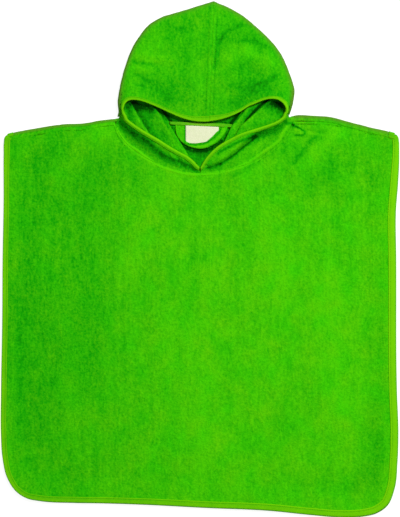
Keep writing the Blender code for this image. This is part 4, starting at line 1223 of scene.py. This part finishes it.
def hood_lip(side_patches):
    """Rows of the cloth under the hood's binding, from the seam to the V."""
    layers, _, lower = side_patches
    return np.concatenate((layers[:, :HOOD_ROWS.lip], lower[1:, :HOOD_ROWS.lip]))


# -------------------------------------------------------------------- the bindings
def binding_section(points, normals):
    """Rings of a binding: the outer skin from its inner edge on top to the one below, and back."""
    skin, wall = size("terry") / 2 + GAP, size("binding_wall")
    width = np.sum(np.linalg.norm(np.diff(points, axis=1), axis=2), axis=1)[:, None]

    def place(share, height):
        """Points in from the edge by a share of the width, and above the cloth."""
        beyond = max(share - 1.0, 0.0) * width
        return (across_strip(points, share) + height * across_strip(normals, share)
                + beyond * unit(points[:, -1] - points[:, -2]))

    edge = points[:, 0]
    normal = normals[:, 0]
    ahead = edge - points[:, 1]
    ahead = unit(ahead - np.sum(ahead * normal, axis=1)[:, None] * normal)
    top = [place(point.across, skin + wall * point.height) for point in BIND_PROFILE]
    outer = skin + wall * BIND_PROFILE[-1].height
    turns = np.linspace(pi / 2, -pi / 2, NOSE_STEPS + 2)[1:-1]
    nose = [edge + (BIND_NOSE + GAP) * cos(turn) * ahead + outer * sin(turn) * normal
            for turn in turns]
    bottom = [place(point.across, -skin - wall * min(point.height, 1.0))
              for point in BIND_PROFILE[::-1]]
    inner_shares = np.linspace(BIND_PROFILE[0].across, 0.0, INSIDE_STEPS)
    inside = [place(share, -skin) for share in inner_shares]
    inside += [edge + GAP * cos(turn) * ahead - skin * sin(turn) * normal for turn in turns]
    inside += [place(share, skin) for share in inner_shares[::-1]]
    return np.stack(top + nose + bottom + inside + [top[0]], axis=1)


def add_binding(name, points, normals, place, nodes):
    """A strip folded over a cloth's edge, with closed ends, on the body or the hood."""
    bm = bmesh.new()
    rings = binding_section(points, normals)
    # the profile paints highlights on the binding's edges and shade in its groove; the nose gets
    # painted shade on the body and a painted highlight on the hood
    skin = [getattr(point, place) for point in BIND_PROFILE]
    nose = [NOSE_SHADES[place == "hood"]] * NOSE_STEPS
    aside = rings[:, 0, 0] / BODY_HALF
    tilt = np.outer(aside, [point.tilt for point in BIND_PROFILE])
    top = np.maximum(skin + tilt + BIND_SIDES * aside[:, None] ** SIDE_POWER, 0.0)
    top *= eased((BIND_TOP - rings[:, :1, 1]) / BIND_FADE) if place == "body" else 1.0
    outside = np.hstack((top, np.tile(nose, (len(rings), 1)), top[:, ::-1]))
    shades = np.pad(outside, ((0, 0), (0, rings.shape[1] - outside.shape[1])))
    layer = bm.verts.layers.float.new("painted_shade_and_tone")
    for vert, shade in zip(add_patch(bm, rings), shades.ravel().tolist()):
        vert[layer] = shade
    bmesh.ops.remove_doubles(bm, verts=bm.verts, dist=WELD * MM)
    ends = [line for line in bm.edges if line.is_boundary]
    bmesh.ops.holes_fill(bm, edges=ends, sides=0)
    bmesh.ops.recalc_face_normals(bm, faces=bm.faces)
    return add_piece(name, bm, finish("binding"), nodes)


def ring_normals(ring):
    """Normals of a bound edge, the same across it."""
    edge, inner = ring[:, 0], ring[:, -1]
    normal = unit(np.cross(np.gradient(edge, axis=0), inner - edge))
    return np.repeat(normal[:, None], ring.shape[1], axis=1)


def back_ring():
    """The back panel's bound edge, over both shoulder rolls."""
    _, ring, left_roll, right_roll = back_patches()
    return np.concatenate((left_roll[:0:-1, :2], ring, right_roll[1:, :2]))


def hood_ring():
    """The hood's lip from the V round the left, over the middle and down the right."""
    left, right = (hood_lip(hood_patches(*half)) for half in HALVES.values())
    return np.concatenate((left[::-1], right[1:]))


def surface_normals(points):
    """Normals of a strip of cloth from its rows, smoothed along it."""
    normal = unit(np.cross(np.gradient(points, axis=0), np.gradient(points, axis=1)))
    for _ in range(EVENED):
        normal[1:-1] = (normal[:-2] + 2 * normal[1:-1] + normal[2:]) / 4
    return unit(normal) * np.sign(np.sum(normal[..., 2]))


# -------------------------------------------------------------------- the stitching
def stitch_line(points, normals, height):
    """Places and normals for the stitches along a binding."""
    normal = across_strip(normals, STITCH_ACROSS)
    return across_strip(points, STITCH_ACROSS) + height * normal, normal


def seam_stitches(layers):
    """The line of stitches on one side of the hood's middle seam, with its normals."""
    over = layers[:, HOOD_ROWS.lip:OVER_ROWS - 2]
    away = away_from(layers[0, :OVER_ROWS], over)[0]
    line = np.array([[np.interp(SEAM_STITCH, away[:, j], over[:, j, axis])
                      for axis in range(3)] for j in range(over.shape[1])])
    height = (size("terry") + GAP) / 2
    return line + (0.0, 0.0, height), np.tile((0.0, 0.0, 1.0), (len(line), 1))


def stitch_shape():
    """One stitch, from its start on the origin along X, with its thread's thickness."""
    length, thread = size("stitch") / 2 * MM, size("thread") / 2 * MM
    bm = bmesh.new()
    bmesh.ops.create_uvsphere(bm, u_segments=6, v_segments=4, radius=1.0,
                              matrix=Matrix.Translation((length, 0.0, 0.0))
                              @ Matrix.Diagonal((length, thread, thread, 1.0)))
    return new_mesh("stitch", bm)


def add_stitches(bm, line, normals):
    """Stitches laid one behind the other along a line, each a copy of one shape."""
    length = size("stitch")
    pitch = length + size("stitch_space")
    whole = lengths_along(line)
    starts = np.arange(pitch / 2, whole[-1] - pitch / 2, pitch)
    shape = stitch_shape()
    for first, last, up in zip(at_lengths(line, starts), at_lengths(line, starts + length),
                               np.column_stack([np.interp(starts, whole, values)
                                                for values in normals.T])):
        first, last, up = Vector(first), Vector(last), Vector(up)
        way = (last - first).normalized()
        side = up.cross(way).normalized()
        turned = Matrix((way, side, way.cross(side))).transposed().to_4x4()
        place = Matrix.Translation(first * MM) @ turned
        shape.transform(place)
        bm.from_mesh(shape)
        shape.transform(place.inverted())
    bpy.data.meshes.remove(shape)


# --------------------------------------------------------------- inside the neck
def level_patch(rows, height, columns=30, steps=10):
    """A level patch through the rows of a piece inside the neck, which slope to the right."""
    lines = in_between([(row.y, row.left, row.right) for row in rows], steps, True)
    return np.array([[(x, y + NECK_TILT * x, height) for x in np.linspace(left, right, columns)]
                     for y, left, right in lines])


def facing_patch():
    """The half-moon, from its top edge down to the rim, round its curl and back."""
    rim = in_between(FACING_RIM, FACING_STEPS)
    level = size("terry") + size("facing") / 2 + GAP
    out = moved_in(rim[:, :2], -1.0) - rim[:, :2]
    columns = []
    for (x, y, curl, fold), way in zip(rim, out):
        start = np.array((x * FACING_TAPER, FACING_TOP))
        rest = np.array((x, y)) - curl * way
        rows = [(*(start + (rest - start) * share), level)
                for share in np.linspace(0, 1, FACING_ROWS)]
        for angle in np.linspace(0, pi, CURL_ROWS + 1)[1:]:
            rows.append((*(rest + curl * sin(angle) * way), level + curl * (1 - cos(angle))))
        for step in range(1, FOLD_ROWS + 1):
            share = step / FOLD_ROWS
            drop = FOLD_DROP * curl * share * share
            rows.append((*(rest - fold * share * way), level + 2 * curl - drop))
        columns.append(rows)
    return np.array(columns)


# ------------------------------------------------------------------ the operators
class PONCHO_OT_back(bpy.types.Operator):
    """Lay the back panel on the floor and roll its shoulders over to the front."""

    bl_idname = "poncho.back"
    bl_label = "Back Panel"

    def execute(self, context):
        patches = back_patches()
        # painted shadow in the V and round the half-moon's rim, and painted shade where the
        # shoulders turn over
        shades = [pile_shades(patch, BACK_SHADE, BACK_SHADOW_PATCHES, lines=BACK_LINES) for patch in patches]
        wear_and_edge_shade = [worn(patch, (LEFT_SHOULDER, RIGHT_SHOULDER)) for patch in patches]
        piece = add_cloth("back_cloth", patches, shades, size("terry"), TERRY_LUMPS,
                          finish("terry"), ["back_panel"], wear_and_edge_shade)
        return {"FINISHED"}


class PONCHO_OT_front(bpy.types.Operator):
    """Lay the front panel on the back, with its folds and its scooped neck."""

    bl_idname = "poncho.front"
    bl_label = "Front Panel"

    def execute(self, context):
        patches = front_patches()
        # painted shade and light along the creases and lines, and a painted highlight on the neck's
        # ridge
        shades = [pile_shades(patch, BODY_SHADE, BODY_TONE_PATCHES, FRONT_CREASES, FRONT_LINES)
                  + near_line(patch, NECK_RIDGE, *RIDGE_SHADES) for patch in patches]
        piece = add_cloth("front_cloth", patches, shades, size("terry"), TERRY_LUMPS,
                          finish("terry"), ["front_panel"])
        return {"FINISHED"}


class PONCHO_OT_hood(bpy.types.Operator):
    """Spread both halves of the hood, with the pleats in its mouth."""

    bl_idname = "poncho.hood"
    bl_label = "Hood"

    def execute(self, context):
        for name, (hood, band) in HALVES.items():
            patches = hood_patches(hood, band)
            fold = [section.side for section in hood]
            # painted shade where the hood's sides turn over
            wear_and_edge_shade = [worn(patch, (fold,), TURN_SHADE_PATCHES) for patch in patches]
            wear_and_edge_shade[1] = np.zeros_like(wear_and_edge_shade[1])
            piece = add_cloth("hood_cloth_" + name, patches, hood_shades(*patches, hood),
                              size("terry"), TERRY_LUMPS, finish("terry"),
                              ["hood_" + name], wear_and_edge_shade)
        return {"FINISHED"}


class PONCHO_OT_bindings(bpy.types.Operator):
    """Fold the bindings over the edges of the body and round the face opening."""

    bl_idname = "poncho.bindings"
    bl_label = "Bindings"

    def execute(self, context):
        front = front_patches()[1]
        back = back_ring()
        hood = hood_ring()
        for name, ring, normals, place, flat in (
                ("front_edge", front, ring_normals(front), "body", (0.020, 1.70)),
                ("back_edge", back, ring_normals(back), "body", (0.020, 1.72)),
                ("hood_edge", hood, surface_normals(hood), "hood", (0.014, 0.60))):
            piece = add_binding(name + "_binding", ring, normals, place,
                                [name.replace("edge", "binding")])
        return {"FINISHED"}


class PONCHO_OT_neck(bpy.types.Operator):
    """Lay the half-moon, the tape and the blank label inside the neck."""

    bl_idname = "poncho.neck"
    bl_label = "Neck Pieces"

    def execute(self, context):
        moon = facing_patch()
        # painted light on the half-moon's curled rim, and painted shade inside it and beside the
        # label
        facing = add_cloth("half_moon", [moon],
                           [pile_shades(moon, FACING_SHADE, lines=FACING_LINES)],
                           size("facing"), TERRY_LUMPS[:1], finish("terry"),
                           ["neck_facing"])
        above = size("terry") + size("facing") + 2 * GAP
        strip = level_patch(TAPE_ROWS, above + size("tape") / 2)
        # painted light on the middle of the tape
        tape = add_cloth("tape_over_neck_seam", [strip],
                         [pile_shades(strip, 0.0, TAPE_LIGHT_PATCHES)],
                         size("tape"), (), finish("tape"), ["neck_tape"])
        tag = level_patch(LABEL_ROWS, above + size("label") / 2)
        label = add_cloth("blank_label", [tag], [pile_shades(tag, FLAT_SHADE)], size("label"),
                          LABEL_LUMPS, finish("label"), ["label"])
        return {"FINISHED"}


class PONCHO_OT_stitching(bpy.types.Operator):
    """Sew along the bindings and on both sides of the hood's middle seam."""

    bl_idname = "poncho.stitching"
    bl_label = "Stitching"

    def execute(self, context):
        height = size("terry") / 2 + GAP + STITCH_HEIGHT * size("binding_wall")
        bm = bmesh.new()
        for ring, normals_of in ((front_patches()[1], ring_normals), (back_ring(), ring_normals),
                                 (hood_ring(), surface_normals)):
            add_stitches(bm, *stitch_line(ring, normals_of(ring), height))
        for half in HALVES.values():
            add_stitches(bm, *seam_stitches(hood_patches(*half)[0]))
        add_piece("stitches", bm, finish("thread"), [])
        return {"FINISHED"}


class PONCHO_OT_stage(bpy.types.Operator):
    """Set up the pale floor, the soft light and the camera straight above."""

    bl_idname = "poncho.stage"
    bl_label = "Floor, Light and Camera"

    def execute(self, context):
        scene = context.scene
        colours, light = scene.poncho_colours, scene.poncho_light
        bm = bmesh.new()
        bmesh.ops.create_grid(bm, x_segments=1, y_segments=1, size=FLOOR_SIZE,
                              matrix=Matrix.Translation((0, 0, FLOOR_Z * MM)))
        mesh = new_mesh("floor", bm)
        material = bpy.data.materials.new("floor")
        material.use_nodes = True
        shader = material.node_tree.nodes["Principled BSDF"]
        shader.inputs["Base Color"].default_value = (*colours.floor, 1.0)
        shader.inputs["Roughness"].default_value = 0.9
        shader.inputs["Emission Color"].default_value = (1.0, 1.0, 1.0, 1.0)
        shader.inputs["Emission Strength"].default_value = light.glow
        mesh.materials.append(material)
        floor = bpy.data.objects.new("floor", mesh)
        scene.collection.objects.link(floor)

        world = bpy.data.worlds.new("studio")
        world.use_nodes = True
        sky = world.node_tree.nodes["Background"]
        sky.inputs["Color"].default_value = (1.0, 1.0, 1.0, 1.0)
        sky.inputs["Strength"].default_value = light.sky
        scene.world = world

        box = bpy.data.lights.new("soft_box", "AREA")
        box.shape = "DISK"
        box.size = LAMP_SIZE
        box.energy = light.key
        box.color = LAMP_COLOUR
        lamp = bpy.data.objects.new("soft_box", box)
        lamp.location = LAMP_PLACE
        lamp.rotation_euler = (-lamp.location).to_track_quat("-Z", "Y").to_euler()
        scene.collection.objects.link(lamp)

        camera = bpy.data.cameras.new("camera")
        camera.sensor_width = SENSOR
        camera.lens = SENSOR * light.camera / FRAME_HEIGHT
        camera.clip_end = 100.0
        view = bpy.data.objects.new("camera", camera)
        view.location = (0.0, FRAME_Y, light.camera)
        scene.collection.objects.link(view)
        scene.camera = view
        scene.view_settings.view_transform = "Standard"
        return {"FINISHED"}


class PONCHO_PT_panel(bpy.types.Panel):
    """Lists the poncho's settings and the steps that make it."""

    bl_idname = "PONCHO_PT_panel"
    bl_label = "Poncho"
    bl_space_type = "VIEW_3D"
    bl_region_type = "UI"
    bl_category = "Poncho"

    def draw(self, context):
        for setting in SETTINGS:
            group = getattr(context.scene, setting)
            column = self.layout.column(align=True)
            for name in group.__annotations__:
                column.prop(group, name)
        for step in STEPS:
            self.layout.operator(step.bl_idname)


SETTINGS = {"poncho_sizes": PonchoSizes, "poncho_colours": PonchoColours,
            "poncho_light": PonchoLight}
STEPS = (PONCHO_OT_back, PONCHO_OT_front, PONCHO_OT_hood, PONCHO_OT_bindings, PONCHO_OT_neck,
         PONCHO_OT_stitching, PONCHO_OT_stage)
CLASSES = (*SETTINGS.values(), *STEPS, PONCHO_PT_panel)


def register():
    for kind in CLASSES:
        bpy.utils.register_class(kind)
    for name, kind in SETTINGS.items():
        setattr(bpy.types.Scene, name, PointerProperty(type=kind))


def unregister():
    for name in SETTINGS:
        delattr(bpy.types.Scene, name)
    for kind in reversed(CLASSES):
        bpy.utils.unregister_class(kind)


def main():
    register()
    for step in STEPS:
        area, name = step.bl_idname.split(".")
        getattr(getattr(bpy.ops, area), name)()
    bpy.context.view_layer.update()


if __name__ == "__main__":
    main()
